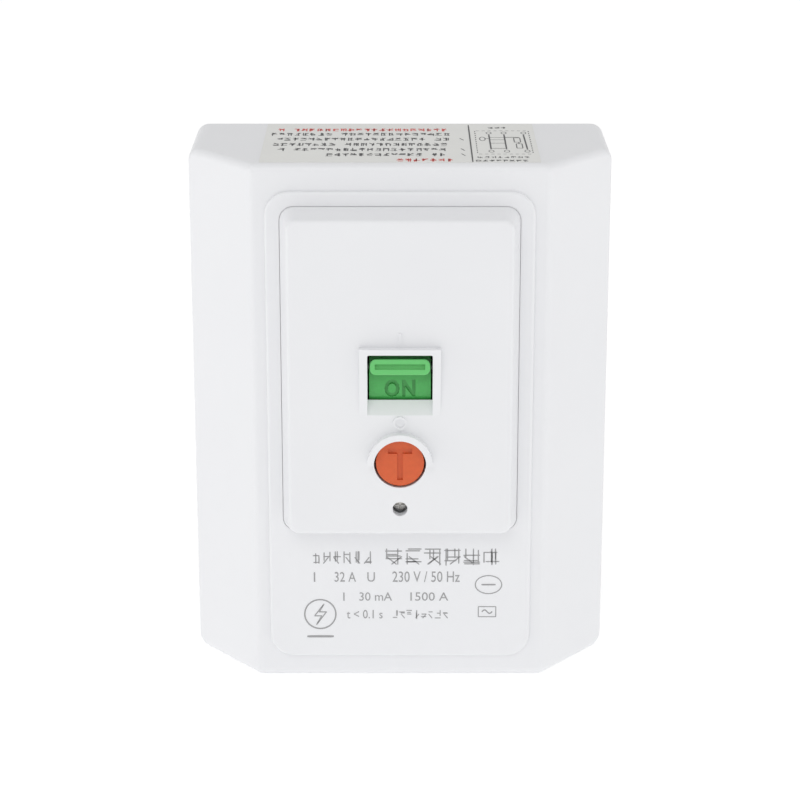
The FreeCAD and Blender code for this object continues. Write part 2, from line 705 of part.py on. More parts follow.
def back_base():
    """The wall tray: floor, rim, screw post, cable window, terminal ribs and board pillars."""
    part = body("back_base")
    floor = sketch(part, "floor", "XZ_Plane")
    rounded(floor, even("base_half"), even("base_top"), "1")
    pad(part, "floor_plate", floor, "base_floor")
    rim = sketch(part, "rim", "XZ_Plane", "base_floor")
    rounded(rim, even("base_half"), even("base_top"), "1")
    rounded(rim, even("rim_half"), even("rim_top"), "0.8")
    pad(part, "rim_wall", rim, "rim_high - base_floor")
    post = sketch(part, "post", "XZ_Plane", "base_floor")
    ring(post, "0", "screw_z", "post_radius")
    pad(part, "screw_post", post, "post_high - base_floor")
    insert = sketch(part, "insert", "XZ_Plane", "post_high")
    ring(insert, "0", "screw_z", "insert_radius")
    pocket(part, "insert_hole", insert, "insert_long")
    ribs = sketch(part, "ribs", "XZ_Plane", "base_floor")
    for centre in rib_places():
        rounded(ribs, about(centre, "rib_wall / 2"), ("terminal_low", "terminal_top"), "0.3")
    pad(part, "terminal_ribs", ribs, "rib_high - base_floor")
    pillars = sketch(part, "pillars", "XZ_Plane", "base_floor")
    for x, z in pillar_places():
        ring(pillars, x, z, "small_screw + 1")
    pad(part, "board_pillars", pillars, "board_back - base_floor")
    pilots = sketch(part, "pilots", "XZ_Plane", "board_back")
    for x, z in pillar_places():
        ring(pilots, x, z, "small_screw + press_gap")
    pocket(part, "pillar_holes", pilots, "5.2")
    frame_holes = sketch(part, "frame_holes", "XZ_Plane", "base_floor")
    for x, z in foot_places():
        ring(frame_holes, x, z, "small_screw + press_gap")
    pocket(part, "foot_holes", frame_holes, "base_floor - 0.5")
    wall_holes = sketch(part, "wall_holes", "XZ_Plane", "base_floor")
    for side in ("-", ""):
        ring(wall_holes, f"{side}wall_hole_pitch / 2", "wall_hole_z", "wall_hole_radius")
    pocket(part, "mounting_holes", wall_holes, "base_floor + 1")
    cable = sketch(part, "cable", "XZ_Plane", "base_floor")
    rounded(cable, even("cable_width / 2"), ("cable_low", "cable_top"), "0.3")
    pocket(part, "cable_window", cable, "base_floor + 1")
    for name, side in (("left", "-"), ("right", "")):
        notch = sketch(part, f"{name}_notch", "XZ_Plane", "hook_depth + hook_high + hook_room")
        rounded(notch, about(f"{side}hook_x", "hook_half + hook_room"),
                ("rim_top - 0.5", "base_top + 0.5"), "0.2")
        pocket(part, f"{name}_slot", notch, "hook_high + 2 * hook_room")


def rib_places():
    """The middles of the ribs on both sides of each terminal."""
    between = "terminal_inner_x + terminal_pitch / 2"
    outside = "terminal_inner_x + terminal_pitch * 1.5"
    return ("0", between, f"-({between})", outside, f"-({outside})")


def pillar_places():
    """The board's four screws."""
    left, right = "board_left + 2.4", "board_left + board_wide - 3.7"
    low, high = "board_low + 2.2", "board_low + board_long - 2.2"
    return ((left, low), (right, low), (left, high), (right, high))


def foot_places():
    """The mechanism frame's four screws."""
    out = "frame_half + foot_reach / 2"
    low, high = "frame_low + 9.5", "frame_top - 5"
    return ((out, low), (f"-({out})", low), (out, high), (f"-({out})", high))


def case_parts():
    front_cover()
    face_panel()
    back_base()
    box("rating_label", even("label_wide / 2"), ("1", "case_depth - front_round - 0.3"),
        ("case_top", "case_top + label_thick"))
    screw("cover_screw", ("0", "screw_z"), "screw_seat",
          ("screw_radius", "screw_seat - post_high + insert_long - 1"),
          ("screw_head_radius", "screw_head_high"))
    tube("base_insert", "front", ("0", "screw_z"), ("post_high - insert_long", "post_high - 0.1"),
         "insert_radius - press_gap", "screw_radius + press_gap")
    cable_grommet()


def cable_grommet():
    """A rubber ring with a lip, lining the cable window."""
    gap = "loose_gap"
    skin = box("grommet_skin", even(f"cable_width / 2 - {gap}"), ("0.3", "base_floor"),
               (f"cable_low + {gap}", f"cable_top - {gap}"))
    lip = box("grommet_lip", even("cable_width / 2 + 1.2"), ("base_floor", "base_floor + 1"),
              ("cable_low - 1.2", "cable_top + 1.2"))
    hole = box("grommet_hole", even("cable_width / 2 - grommet_wall"), ("0", "base_floor + 2"),
               ("cable_low + grommet_wall", "cable_top - grommet_wall"))
    cut("cable_grommet", join("grommet_blank", [skin, lip]), [hole])


# ---- mechanism --------------------------------------------------------------------------------

def mechanism_frame():
    """Two side plates on a floor plate, with a test bridge, a spring seat, a tie bar and four feet."""
    inner = "frame_inner / 2"
    tall = ("frame_low", "frame_top")
    pieces = [
        box("frame_floor_plate", even("frame_half"), ("base_floor", "frame_back"), tall),
        box("frame_left_plate", ("-(frame_half)", f"-({inner})"), ("base_floor", "frame_high"), tall),
        box("frame_right_plate", (inner, "frame_half"), ("base_floor", "frame_high"), tall),
        box("frame_bridge", even(inner), ("bridge_back", "bridge_front"), ("frame_low", "bridge_top")),
        box("frame_seat", even(inner), ("spring_seat - 1", "spring_seat"), ("frame_low", "bridge_top")),
        box("frame_tie", even(inner), about("tie_depth", "tie_half"), ("frame_top - 3", "frame_top")),
        box("frame_ear", (inner, "frame_half"), about("lever_depth", "ear_half"),
            ("frame_top", "lever_z + 3")),
    ]
    for number, (x, z) in enumerate(foot_places()):
        pieces.append(middle_box(f"frame_foot_{number}", x, "foot_reach / 2",
                                 ("base_floor", "frame_back"), about(z, "foot_half")))
    holes = [
        rod("frame_rocker_hole", "x", ("rocker_depth", "rocker_z"), even("frame_half"),
            "axle_radius + press_gap"),
        rod("frame_carrier_hole", "x", ("carrier_depth", "carrier_z"), even("frame_half"),
            "axle_radius + press_gap"),
        rod("frame_lever_hole", "x", ("lever_depth", "lever_z"), (inner, "frame_half"),
            "pin_radius + press_gap"),
        rod("frame_stem_hole", "front", ("0", "button_z"), ("spring_seat - 1", "spring_seat"),
            "stem_radius + 0.4"),
    ]
    for number, (x, z) in enumerate(foot_places()):
        holes.append(rod(f"frame_foot_hole_{number}", "front", (x, z), ("base_floor", "frame_back"),
                         "small_screw + press_gap"))
    cut("mechanism_frame", join("frame_blank", pieces), holes)


def frame_screws():
    group("frame_screws", [
        screw(f"frame_screw_{number}", place, "frame_back",
              ("small_screw", "frame_back - 0.8"), ("small_head", "1.3"))
        for number, place in enumerate(foot_places())])


def rocker_handle():
    """The green rocker about its own axle: a drum, a finger bar and two cheeks for the link."""
    part = body("rocker_handle")
    drum = sketch(part, "drum", "YZ_Plane", "-drum_half")
    ring(drum, "0", "0", "drum_radius")
    pad(part, "drum_block", drum, "2 * drum_half")
    back = sketch(part, "back", "YZ_Plane", "drum_half + 1")
    outline(back, (("axle_radius + 1.4", "-drum_radius - 1"), ("drum_radius + 1", "-drum_radius - 1"),
                   ("drum_radius + 1", "drum_radius + 1"), ("axle_radius + 1.4", "drum_radius + 1")))
    pocket(part, "flat_back", back, "2 * drum_half + 2")
    for name, start in (("left", "-cheek_outer"), ("right", "cheek_inner")):
        cheek = sketch(part, f"{name}_cheek", "YZ_Plane", start)
        rounded(cheek, ("0", "link_arm + cheek_ear"), even("cheek_ear"), "cheek_ear * 0.6")
        pad(part, f"{name}_lug", cheek, "cheek_outer - cheek_inner")
    bar = sketch(part, "bar", "XZ_Plane", "drum_radius * 0.8")
    rounded(bar, even("handle_width / 2"), about("-handle_low", "handle_thick / 2"), "handle_round")
    pad(part, "finger_bar", bar, "handle_reach - drum_radius * 0.8")
    round_edges(part, "bar_rim", "handle_round * 0.25",
                lambda edge: near(-middle(edge).y, "handle_reach"))
    slot = sketch(part, "slot", "XZ_Plane", "handle_reach")
    rounded(slot, even("handle_slot_width / 2"), about("-handle_low", "handle_slot_thick / 2"), "0.15")
    pocket(part, "bar_slot", slot, "handle_slot_deep")
    bore = sketch(part, "bore", "YZ_Plane", "drum_half + 1")
    ring(bore, "0", "0", "axle_radius + running_gap")
    pocket(part, "axle_bore", bore, "2 * drum_half + 2")
    pin = sketch(part, "pin", "YZ_Plane", "drum_half + 1")
    ring(pin, "link_arm", "0", "pin_radius + press_gap")
    pocket(part, "pin_bore", pin, "2 * drum_half + 2")
    part.Placement = FreeCAD.Placement(FreeCAD.Vector(), FreeCAD.Rotation(FreeCAD.Vector(-1, 0, 0), 1))
    bind(part, "Placement.Rotation.Angle", "rocker_tilt")
    seat(part, "0", "rocker_depth", "rocker_z")


def drive_link():
    """The steel link from the rocker's pin down to the contact carrier's pin."""
    part = body("drive_link")
    plate = sketch(part, "plate", "YZ_Plane", "-link_half")
    rounded(plate, ("-link_ear", "link_length + link_ear"), even("link_ear"), "link_ear - 0.1")
    pad(part, "bar", plate, "2 * link_half")
    upper = sketch(part, "upper", "YZ_Plane", "link_half")
    ring(upper, "0", "0", "pin_radius + running_gap")
    pocket(part, "upper_hole", upper, "2 * link_half")
    lower = sketch(part, "lower", "YZ_Plane", "link_half")
    ring(lower, "link_length", "0", "pin_radius + open_pivot_gap")
    pocket(part, "lower_hole", lower, "2 * link_half")
    part.Placement = FreeCAD.Placement(FreeCAD.Vector(), FreeCAD.Rotation(FreeCAD.Vector(-1, 0, 0), 1))
    bind(part, "Placement.Rotation.Angle", "atan(link_climb / link_run)")
    seat(part, "0", "upper_pin_depth", "upper_pin_z")


def arm_point(along, across):
    """A place on the carrier's arm, in the carrier's own y and z."""
    return (f"-(({along}) * cos(carrier_tilt) + ({across}) * sin(carrier_tilt))",
            f"({across}) * cos(carrier_tilt) - ({along}) * sin(carrier_tilt)")


def contact_carrier():
    """The moulded carrier about its own axle: a hub, a block for the contacts and two arm cheeks."""
    part = body("contact_carrier")
    half = "frame_inner / 2 - 0.4"
    hub = sketch(part, "hub", "YZ_Plane", f"-({half})")
    ring(hub, "0", "0", "carrier_hub")
    pad(part, "hub_bar", hub, f"2 * ({half})")
    block = sketch(part, "block", "YZ_Plane", f"-({half})")
    outline(block, (("carrier_depth - arm_front", "0"), ("-2", "0"), ("-2", "2 - contact_drop"),
                    ("carrier_depth - arm_front", "2 - contact_drop")))
    pad(part, "contact_block", block, f"2 * ({half})")
    for name, start in (("left", "-cheek_outer"), ("right", "cheek_inner")):
        cheek = sketch(part, f"{name}_cheek", "YZ_Plane", start)
        outline(cheek, (arm_point("0", "-arm_ear"), arm_point("0", "arm_ear"),
                        arm_point("carrier_arm + arm_ear", "arm_ear"),
                        arm_point("carrier_arm + arm_ear", "-arm_ear")))
        pad(part, f"{name}_arm", cheek, "cheek_outer - cheek_inner")
    bore = sketch(part, "bore", "YZ_Plane", f"{half} + 1")
    ring(bore, "0", "0", "axle_radius + running_gap")
    pocket(part, "axle_bore", bore, f"2 * ({half}) + 2")
    pin = sketch(part, "pin", "YZ_Plane", f"{half} + 1")
    ring(pin, *arm_point("carrier_arm", "0"), "pin_radius + press_gap")
    pocket(part, "pin_bore", pin, f"2 * ({half}) + 2")
    seat(part, "0", "carrier_depth", "carrier_z")


def contacts():
    """The fixed and moving contacts of both poles, their silver tips and the arc plates."""
    moving, fixed = [], []
    for pole, side in (("neutral", "-"), ("live", "")):
        centre = f"{side}contact_x"
        middle_box(f"moving_contact_{pole}", centre, "contact_wide / 2 - 0.2", ("arm_back", "arm_front"),
                   ("tip_z - 2", "carrier_z - carrier_hub - 0.1"))
        middle_box(f"fixed_contact_{pole}", centre, "contact_wide / 2", ("frame_back", "strip_front"),
                   ("terminal_top", "tip_z + 2.4"))
        moving.append(rod(f"moving_tip_{pole}", "front", (centre, "tip_z"), ("moving_tip", "arm_back"),
                          "tip_radius"))
        fixed.append(rod(f"fixed_tip_{pole}", "front", (centre, "tip_z"), ("strip_front", "fixed_tip"),
                         "tip_radius"))
        arc_plates(pole, side)
    group("moving_tips", moving)
    group("fixed_tips", fixed)


def arc_plates(pole, side):
    """Five thin steel plates held against the frame's side plate."""
    near_end, far_end = f"{side}(frame_inner / 2)", f"{side}(frame_inner / 2 - arc_plate_reach)"
    ends = (near_end, far_end) if side else (far_end, near_end)
    plates = []
    for number in range(5):
        low = f"frame_low + 0.6 + {number} * arc_plate_pitch"
        plates.append(box(f"arc_plate_{pole}_{number}", ends, about("arc_plate_depth", "arc_plate_half"),
                          (low, f"{low} + arc_plate_thick")))
    group(f"arc_plates_{pole}", plates)


def pins_and_links():
    rocker_handle()
    drive_link()
    contact_carrier()
    rod("rocker_axle", "x", ("rocker_depth", "rocker_z"), even("frame_half"), "axle_radius")
    rod("carrier_axle", "x", ("carrier_depth", "carrier_z"), even("frame_half"), "axle_radius")
    rod("rocker_link_pin", "x", ("upper_pin_depth", "upper_pin_z"), even("cheek_outer"), "pin_radius")
    rod("carrier_link_pin", "x", ("lower_pin_depth", "lower_pin_z"), even("cheek_outer"), "pin_radius")
    coil("rocker_spring", spot("drum_half + 0.8", "rocker_depth", "rocker_z"),
         value("axle_radius + 0.2 + spring_wire"), value("spring_wire"),
         value("frame_inner / 2 - drum_half - 1.5"), 2.5, TURNS["x"])


# ---- terminals and wiring ---------------------------------------------------------------------

def terminal(label, centre):
    """A brass block with a wire bore from below and a screw hole from the front."""
    block = middle_box(label + "_block", centre, "terminal_block / 2", ("base_floor", "terminal_front"),
                       ("terminal_low", "terminal_top"))
    wire = rod(label + "_wire_bore", "z", (centre, "base_floor + 5"),
               ("terminal_low", "terminal_top - 2"), "wire_bore")
    hole = rod(label + "_screw_hole", "front", (centre, "terminal_low + terminal_block / 2"),
               ("base_floor + 5", "terminal_front"), "clamp_screw_radius + press_gap")
    cut(label, block, [wire, hole])


def terminals():
    far = "terminal_inner_x + terminal_pitch"
    places = (("load_terminal_neutral", "-terminal_inner_x"), ("load_terminal_live", "terminal_inner_x"),
              ("line_terminal_neutral", f"-({far})"), ("line_terminal_live", far))
    screws = []
    for label, centre in places:
        terminal(label, centre)
        screws.append(screw(f"{label}_screw", (centre, "terminal_low + terminal_block / 2"),
                            "terminal_front", ("clamp_screw_radius", "terminal_block - 5 - wire_bore"),
                            ("clamp_screw_radius + 1.3", "2.2")))
    group("terminal_screws", screws)


def wiring():
    """The insulated leads through the transformer and the braids to the moving contacts."""
    for pole, side in (("neutral", "-"), ("live", "")):
        joint = "frame_top + 4"
        swept(f"line_lead_{pole}", bent_wire([
            spot(f"{side}lead_x", "lead_depth", "terminal_top"),
            spot(f"{side}lead_x", "lead_depth", "lead_top"),
            spot(f"{side}lead_pair_x", "lead_depth", "lead_top"),
            spot(f"{side}lead_pair_x", "lead_depth", joint)], value("lead_bend")),
            value("lead_radius"))
        behind = "(frame_back + carrier_depth - carrier_hub) / 2"
        swept(f"contact_braid_{pole}", bent_wire([
            spot(f"{side}lead_pair_x", "lead_depth", joint),
            spot(f"{side}lead_pair_x", "lead_depth", "frame_top - 3"),
            spot(f"{side}contact_x", behind, "frame_top - 10"),
            spot(f"{side}contact_x", behind, "carrier_z - 0.5"),
            spot(f"{side}contact_x", "arm_back - braid_radius - 0.05", "tip_z + 4.4")], 2.5),
            value("braid_radius"))


def transformer():
    """The differential transformer: a bored case with a lid, a ring core and its two half windings."""
    centre = ("0", "lead_depth")
    depth = ("base_floor", "base_floor + 2 * sensor_half")
    floor = "sensor_low + shell_wall"
    room = tube("sensor_room", "z", centre, (floor, "sensor_mouth"), "winding_outer + sensor_gap",
                "winding_inner - sensor_gap")
    shell = box("sensor_shell", even("sensor_half"), depth, ("sensor_low", "sensor_mouth"))
    bore = rod("sensor_bore_rod", "z", centre, ("sensor_low", "sensor_mouth"), "sensor_bore")
    cut("transformer_case", shell, [room, bore])
    lid = box("sensor_lid_plate", even("sensor_half"), depth, ("sensor_mouth", "sensor_top"))
    cut("transformer_lid", lid, [rod("sensor_lid_bore", "z", centre, ("sensor_mouth", "sensor_top"),
                                     "sensor_bore")])
    core = (f"{floor} + winding_thick", f"{floor} + winding_thick + core_high")
    tube("transformer_core", "z", centre, core, "core_outer", "core_inner")
    wound = tube("winding_ring", "z", centre, (floor, f"{floor} + winding_high"), "winding_outer",
                 "winding_inner")
    space = tube("winding_space", "z", centre, core, "core_outer", "core_inner")
    split = box("winding_split", even("1.2"), depth, (floor, f"{floor} + winding_high"))
    cut("transformer_winding", wound, [space, split])


# ---- sensing board ----------------------------------------------------------------------------

def on_board(x, z):
    return (f"board_left + {x}", f"board_low + {z}")


def circuit_board():
    """The board with its screws and the parts soldered to its front."""
    plate = box("board_plate", ("board_left", "board_left + board_wide"), ("board_back", "board_depth"),
                ("board_low", "board_low + board_long"))
    holes = [rod(f"board_hole_{number}", "front", place, ("board_back", "board_depth"),
                 "small_screw + press_gap") for number, place in enumerate(pillar_places())]
    cut("circuit_board", plate, holes)
    group("board_screws", [screw(f"board_screw_{number}", place, "board_depth",
                                 ("small_screw", "6"), ("small_head", "1.2"))
                           for number, place in enumerate(pillar_places())])
    face = "board_depth"
    x, z = on_board("6.5", "10")
    box("controller_chip", (x, f"{x} + 6.4"), (face, f"{face} + 2"), (z, f"{z} + 4.8"))
    x, z = on_board("6", "18")
    box("thyristor", (x, f"{x} + 4.6"), (face, f"{face} + 5"), (z, f"{z} + 3.6"))
    group("board_capacitors", [rod(f"capacitor_{number}", "front", on_board("18.5", str(up)),
                                   (face, f"{face} + 7.5"), "2.5")
                               for number, up in enumerate((9, 15.5))])
    x, z = on_board("8", "26.5")
    rod("surge_absorber", "x", (f"{face} + 4.6", z), (x, f"{x} + 3.6"), "4.6")
    resistors, diodes = [], []
    for number in range(4):
        x, z = on_board("14", str(21 + 2.9 * number))
        resistors.append(rod(f"resistor_{number}", "x", (f"{face} + 1", z), (x, f"{x} + 6"), "1"))
        x, z = on_board(str(7.4 + 2.4 * number), "2.6")
        diodes.append(rod(f"diode_{number}", "z", (x, f"{face} + 0.8"), (z, f"{z} + 4"), "0.8"))
    group("board_resistors", resistors)
    group("board_diodes", diodes)


# ---- trip solenoid and lever ------------------------------------------------------------------

def solenoid():
    """A push solenoid: yoke, bobbin, coil, fixed core, plunger with its rod, and return spring."""
    centre = ("solenoid_x", "solenoid_depth")
    wide = "bobbin_radius + 0.5"
    front = "solenoid_depth + bobbin_radius"
    low = ("yoke_low", "yoke_low + yoke_wall")
    high = ("yoke_top - yoke_wall", "yoke_top")
    plates = join("yoke_blank", [
        middle_box("yoke_back", "solenoid_x", wide, ("base_floor", "base_floor + yoke_wall"),
                   ("yoke_low", "yoke_top")),
        middle_box("yoke_floor", "solenoid_x", wide, ("base_floor", front), low),
        middle_box("yoke_roof", "solenoid_x", wide, ("base_floor", front), high)])
    cut("solenoid_yoke", plates, [rod("yoke_hole", "z", centre, high, "rod_radius + 0.3")])
    inside = ("coil_low - bobbin_flange", "coil_top + bobbin_flange")
    reel = join("bobbin_blank", [
        rod("bobbin_sleeve", "z", centre, inside, "bobbin_tube"),
        rod("bobbin_lower_flange", "z", centre, (inside[0], "coil_low"), "bobbin_radius"),
        rod("bobbin_upper_flange", "z", centre, ("coil_top", inside[1]), "bobbin_radius")])
    cut("solenoid_bobbin", reel, [rod("bobbin_bore", "z", centre, inside,
                                      "plunger_radius + plunger_gap")])
    tube("solenoid_coil", "z", centre, ("coil_low", "coil_top"), "coil_radius", "bobbin_tube")
    tube("solenoid_core", "z", centre, ("core_low", inside[1]), "plunger_radius + plunger_gap - press_gap",
         "rod_radius + 0.15")
    join("solenoid_plunger", [
        rod("plunger_slug", "z", centre, ("coil_low - bobbin_flange + 0.3", "plunger_top"),
            "plunger_radius"),
        rod("plunger_rod", "z", centre, ("plunger_top", "rod_tip"), "rod_radius")])
    coil("plunger_spring", spot(*centre, "plunger_top + 0.4"), value("rod_radius + 0.3 + spring_wire"),
         value("spring_wire"), value("core_low - plunger_top - 0.8"), 3)


def trip_lever():
    """The lever over the push rod: a hub, an arm to the rod, and a nose above the contact carrier."""
    thick = about("lever_z", "lever_thick / 2")
    hub = ("frame_half + 0.3", "frame_half + 5.3")
    far = "solenoid_x + 2"
    pieces = [
        rod("lever_hub", "x", ("lever_depth", "lever_z"), hub, "2.6"),
        box("lever_arm", (hub[0], far), ("lever_depth - 5.4", "lever_depth - 1.4"), thick),
        box("lever_paddle", ("solenoid_x - 2", far), ("solenoid_depth - 2", "lever_depth - 1.4"), thick),
        box("lever_crossing", ("frame_inner / 2 - 2.4", "frame_half + 2.3"),
            ("lever_depth - 9", "lever_depth - 4.5"), thick),
        box("lever_nose", ("frame_inner / 2 - 2.4", "frame_inner / 2 - 0.4"),
            ("lever_depth - 9", "lever_depth - 6.5"), ("lever_z - 16.5", "lever_z")),
    ]
    bore = rod("lever_bore", "x", ("lever_depth", "lever_z"), hub, "pin_radius + running_gap")
    cut("trip_lever", join("lever_blank", pieces), [bore])
    rod("lever_pin", "x", ("lever_depth", "lever_z"), ("frame_inner / 2", "frame_half + 6"), "pin_radius")


# ---- test button ------------------------------------------------------------------------------

def test_button():
    """The orange button about its own axis: a cap with a T, a stop flange and a stepped stem."""
    part = body("test_button")
    for name, start, end, radius in (
            ("stem_end", "stem_tip", "stem_tip + 2", "stem_tip_radius"),
            ("stem", "stem_tip + 2", "flange_back", "stem_radius"),
            ("flange", "flange_back", "flange_front", "flange_radius"),
            ("cap", "flange_front", "button_front", "button_radius")):
        flat = sketch(part, name, "XZ_Plane", start)
        ring(flat, "0", "0", radius)
        pad(part, f"{name}_disc", flat, f"({end}) - ({start})")
    letter = sketch(part, "letter", "XZ_Plane", "button_front")
    half, stroke = "letter_wide / 2", "letter_stroke / 2"
    top, under = "letter_top", "letter_top - letter_stroke"
    low = "letter_top - letter_high"
    outline(letter, ((f"-({half})", top), (f"-({half})", under), (f"-({stroke})", under),
                     (f"-({stroke})", low), (stroke, low), (stroke, under), (half, under),
                     (half, top)))
    pocket(part, "letter_cut", letter, "letter_deep")
    seat(part, "0", "0", "button_z")


def test_contact():
    """The leaf the button presses, its block and rivet on the bridge, and the button's spring."""
    block_left = "-(frame_inner / 2 - 0.2)"
    across = about("button_z", "1.9")
    box("leaf_block", (block_left, "-leaf_pivot_x"), ("bridge_front", "leaf_back"), across)
    box("test_leaf", (block_left, "5"), ("leaf_back + press_gap", "leaf_front"), across)
    rod("test_rivet", "front", ("3", "button_z"), ("bridge_front", "bridge_front + 0.25"), "1.2")
    coil("test_button_spring", spot("0", "spring_seat + 0.4", "button_z"), value("button_spring_radius"),
         value("spring_wire"), value("spring_seat_gap - 0.8"), 4, TURNS["front"])


# ---- build and export ---------------------------------------------------------------------------

NODES = (
    "front_cover", "face_panel", "back_base", "rating_label", "cover_screw", "base_insert",
    "cable_grommet", "mechanism_frame", "frame_screws", "rocker_handle", "rocker_axle",
    "rocker_spring", "drive_link", "rocker_link_pin", "carrier_link_pin", "contact_carrier",
    "carrier_axle", "moving_contact_live", "moving_contact_neutral", "moving_tips",
    "fixed_contact_live", "fixed_contact_neutral", "fixed_tips", "arc_plates_live",
    "arc_plates_neutral", "contact_braid_live", "contact_braid_neutral", "load_terminal_neutral",
    "load_terminal_live", "line_terminal_neutral", "line_terminal_live", "terminal_screws",
    "line_lead_live", "line_lead_neutral", "transformer_case", "transformer_lid",
    "transformer_core", "transformer_winding", "circuit_board", "board_screws", "controller_chip",
    "thyristor", "board_capacitors", "board_resistors", "board_diodes", "surge_absorber",
    "solenoid_yoke", "solenoid_bobbin", "solenoid_coil", "solenoid_core", "solenoid_plunger",
    "plunger_spring", "trip_lever", "lever_pin", "test_button", "test_button_spring", "test_leaf",
    "leaf_block", "test_rivet",
)


def check():
    """Refuse to write anything while an object failed or a sub-part's shape is null or invalid."""
    for item in doc.Objects:
        if {"Invalid", "Error"} & set(item.State):
            raise RuntimeError(f"{item.Label} failed: {item.State}")
    for name in NODES:
        shape = doc.getObjectsByLabel(name)[0].Shape
        if shape.isNull() or not shape.isValid() or not shape.Solids:
            raise RuntimeError(f"{name} has no valid shape")


def export():
    os.makedirs("parts", exist_ok=True)
    for name in NODES:
        doc.getObjectsByLabel(name)[0].Shape.exportStep(f"parts/{name}.step")


fill_sheet()
case_parts()
mechanism_frame()
frame_screws()
pins_and_links()
contacts()
terminals()
wiring()
transformer()
circuit_board()
solenoid()
trip_lever()
test_button()
test_contact()
doc.recompute()
check()
export()
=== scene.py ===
"""The looks of a wall-mounted residual current device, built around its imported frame."""
import math
import random

import bpy
from mathutils import Matrix, Vector


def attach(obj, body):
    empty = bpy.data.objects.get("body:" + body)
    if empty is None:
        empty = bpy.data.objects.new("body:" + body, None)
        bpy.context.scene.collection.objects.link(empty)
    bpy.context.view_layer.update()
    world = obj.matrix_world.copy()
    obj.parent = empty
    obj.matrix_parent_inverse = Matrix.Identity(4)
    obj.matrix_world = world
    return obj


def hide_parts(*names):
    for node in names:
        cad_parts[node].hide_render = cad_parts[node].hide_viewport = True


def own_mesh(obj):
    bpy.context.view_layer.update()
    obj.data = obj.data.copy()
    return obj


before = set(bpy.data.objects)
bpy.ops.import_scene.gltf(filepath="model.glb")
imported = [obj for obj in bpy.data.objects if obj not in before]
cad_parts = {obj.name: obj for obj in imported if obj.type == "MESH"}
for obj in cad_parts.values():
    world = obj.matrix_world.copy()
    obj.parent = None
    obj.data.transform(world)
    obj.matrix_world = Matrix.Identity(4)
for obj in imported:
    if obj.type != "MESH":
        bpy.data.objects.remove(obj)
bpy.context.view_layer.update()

# Places and sizes on the device are in mm, in the frame's axes: x to the right, y into the wall
# and z up. MM turns them into metres. The floor, the lamps and the camera are in metres.
MM = 0.001
PLATE_FRONT = 42.5          # from the wall to the raised plate's face
LABEL_TOP = 55.9            # the height of the label's upper face
FLOOR_LEVEL = -55.8
INK_HEIGHT = 0.03
ROCKER_AXIS = (36.8, 12.0)  # from the wall outwards, and up
DRUM_RADIUS = 10.0
LETTER_HEIGHT = 10.2        # where the middle of ON stands on the drum
LETTER_DEPTH = 0.45         # how far ON is sunk into the drum
SEED = 7                    # the blank signs are the same each run
random.seed(SEED)


# ---------------------------------------------------------------- finishes

# The colour sockets of a mix node have no names of their own.
MIX_FACTOR, MIX_FIRST, MIX_SECOND, MIX_RESULT = 0, 6, 7, 2


def node(tree, kind, **inputs):
    """A shader node with its plain inputs set by name."""
    item = tree.nodes.new(kind)
    for name, value in inputs.items():
        item.inputs[name.replace("_", " ")].default_value = value
    return item


def finish(name, colour, drift, patch=9.0, rough=0.4, spread=0.06, grain=0.35, relief=0.006,
           stretch=(1.0, 1.0, 1.0), **shader_values):
    """A surface whose colour drifts between two tones over patches of a size in mm.

    A finer grain, also in mm, changes its gloss and stands up by its relief in mm."""
    material = bpy.data.materials.new(name)
    material.use_nodes = True
    tree = material.node_tree
    shader = tree.nodes["Principled BSDF"]
    for key, value in shader_values.items():
        shader.inputs[key.replace("_", " ")].default_value = value
    place = node(tree, "ShaderNodeTexCoord")
    fit = node(tree, "ShaderNodeMapping", Scale=stretch)
    tree.links.new(place.outputs["Object"], fit.inputs["Vector"])

    clouds = node(tree, "ShaderNodeTexNoise", Scale=1.0 / (patch * MM), Detail=3.0, Roughness=0.55)
    tree.links.new(fit.outputs["Vector"], clouds.inputs["Vector"])
    tones = node(tree, "ShaderNodeMix")
    tones.data_type = "RGBA"
    tones.inputs[MIX_FIRST].default_value = (*colour, 1.0)
    tones.inputs[MIX_SECOND].default_value = (*drift, 1.0)
    tree.links.new(clouds.outputs["Fac"], tones.inputs[MIX_FACTOR])
    tree.links.new(tones.outputs[MIX_RESULT], shader.inputs["Base Color"])

    speckle = node(tree, "ShaderNodeTexNoise", Scale=1.0 / (grain * MM), Detail=4.0, Roughness=0.6)
    tree.links.new(fit.outputs["Vector"], speckle.inputs["Vector"])
    gloss = node(tree, "ShaderNodeMapRange", To_Min=rough - spread, To_Max=rough + spread)
    tree.links.new(speckle.outputs["Fac"], gloss.inputs["Value"])
    tree.links.new(gloss.outputs["Result"], shader.inputs["Roughness"])
    bump = node(tree, "ShaderNodeBump", Strength=1.0, Distance=relief * MM)
    tree.links.new(speckle.outputs["Fac"], bump.inputs["Height"])
    tree.links.new(bump.outputs["Normal"], shader.inputs["Normal"])
    return material


def parts_of(material):
    """A finish's node tree, its shader and its coordinates."""
    tree = material.node_tree
    place = next(item for item in tree.nodes if item.type == "TEX_COORD")
    return tree, tree.nodes["Principled BSDF"], place


def along_axis(material, axis, start, end):
    """A value in a finish that goes from 0 to 1 between two places on an axis, in mm."""
    tree, _, place = parts_of(material)
    axes = node(tree, "ShaderNodeSeparateXYZ")
    tree.links.new(place.outputs["Object"], axes.inputs["Vector"])
    along = node(tree, "ShaderNodeMapRange", From_Min=start * MM, From_Max=end * MM)
    tree.links.new(axes.outputs[axis], along.inputs["Value"])
    return along.outputs["Result"]


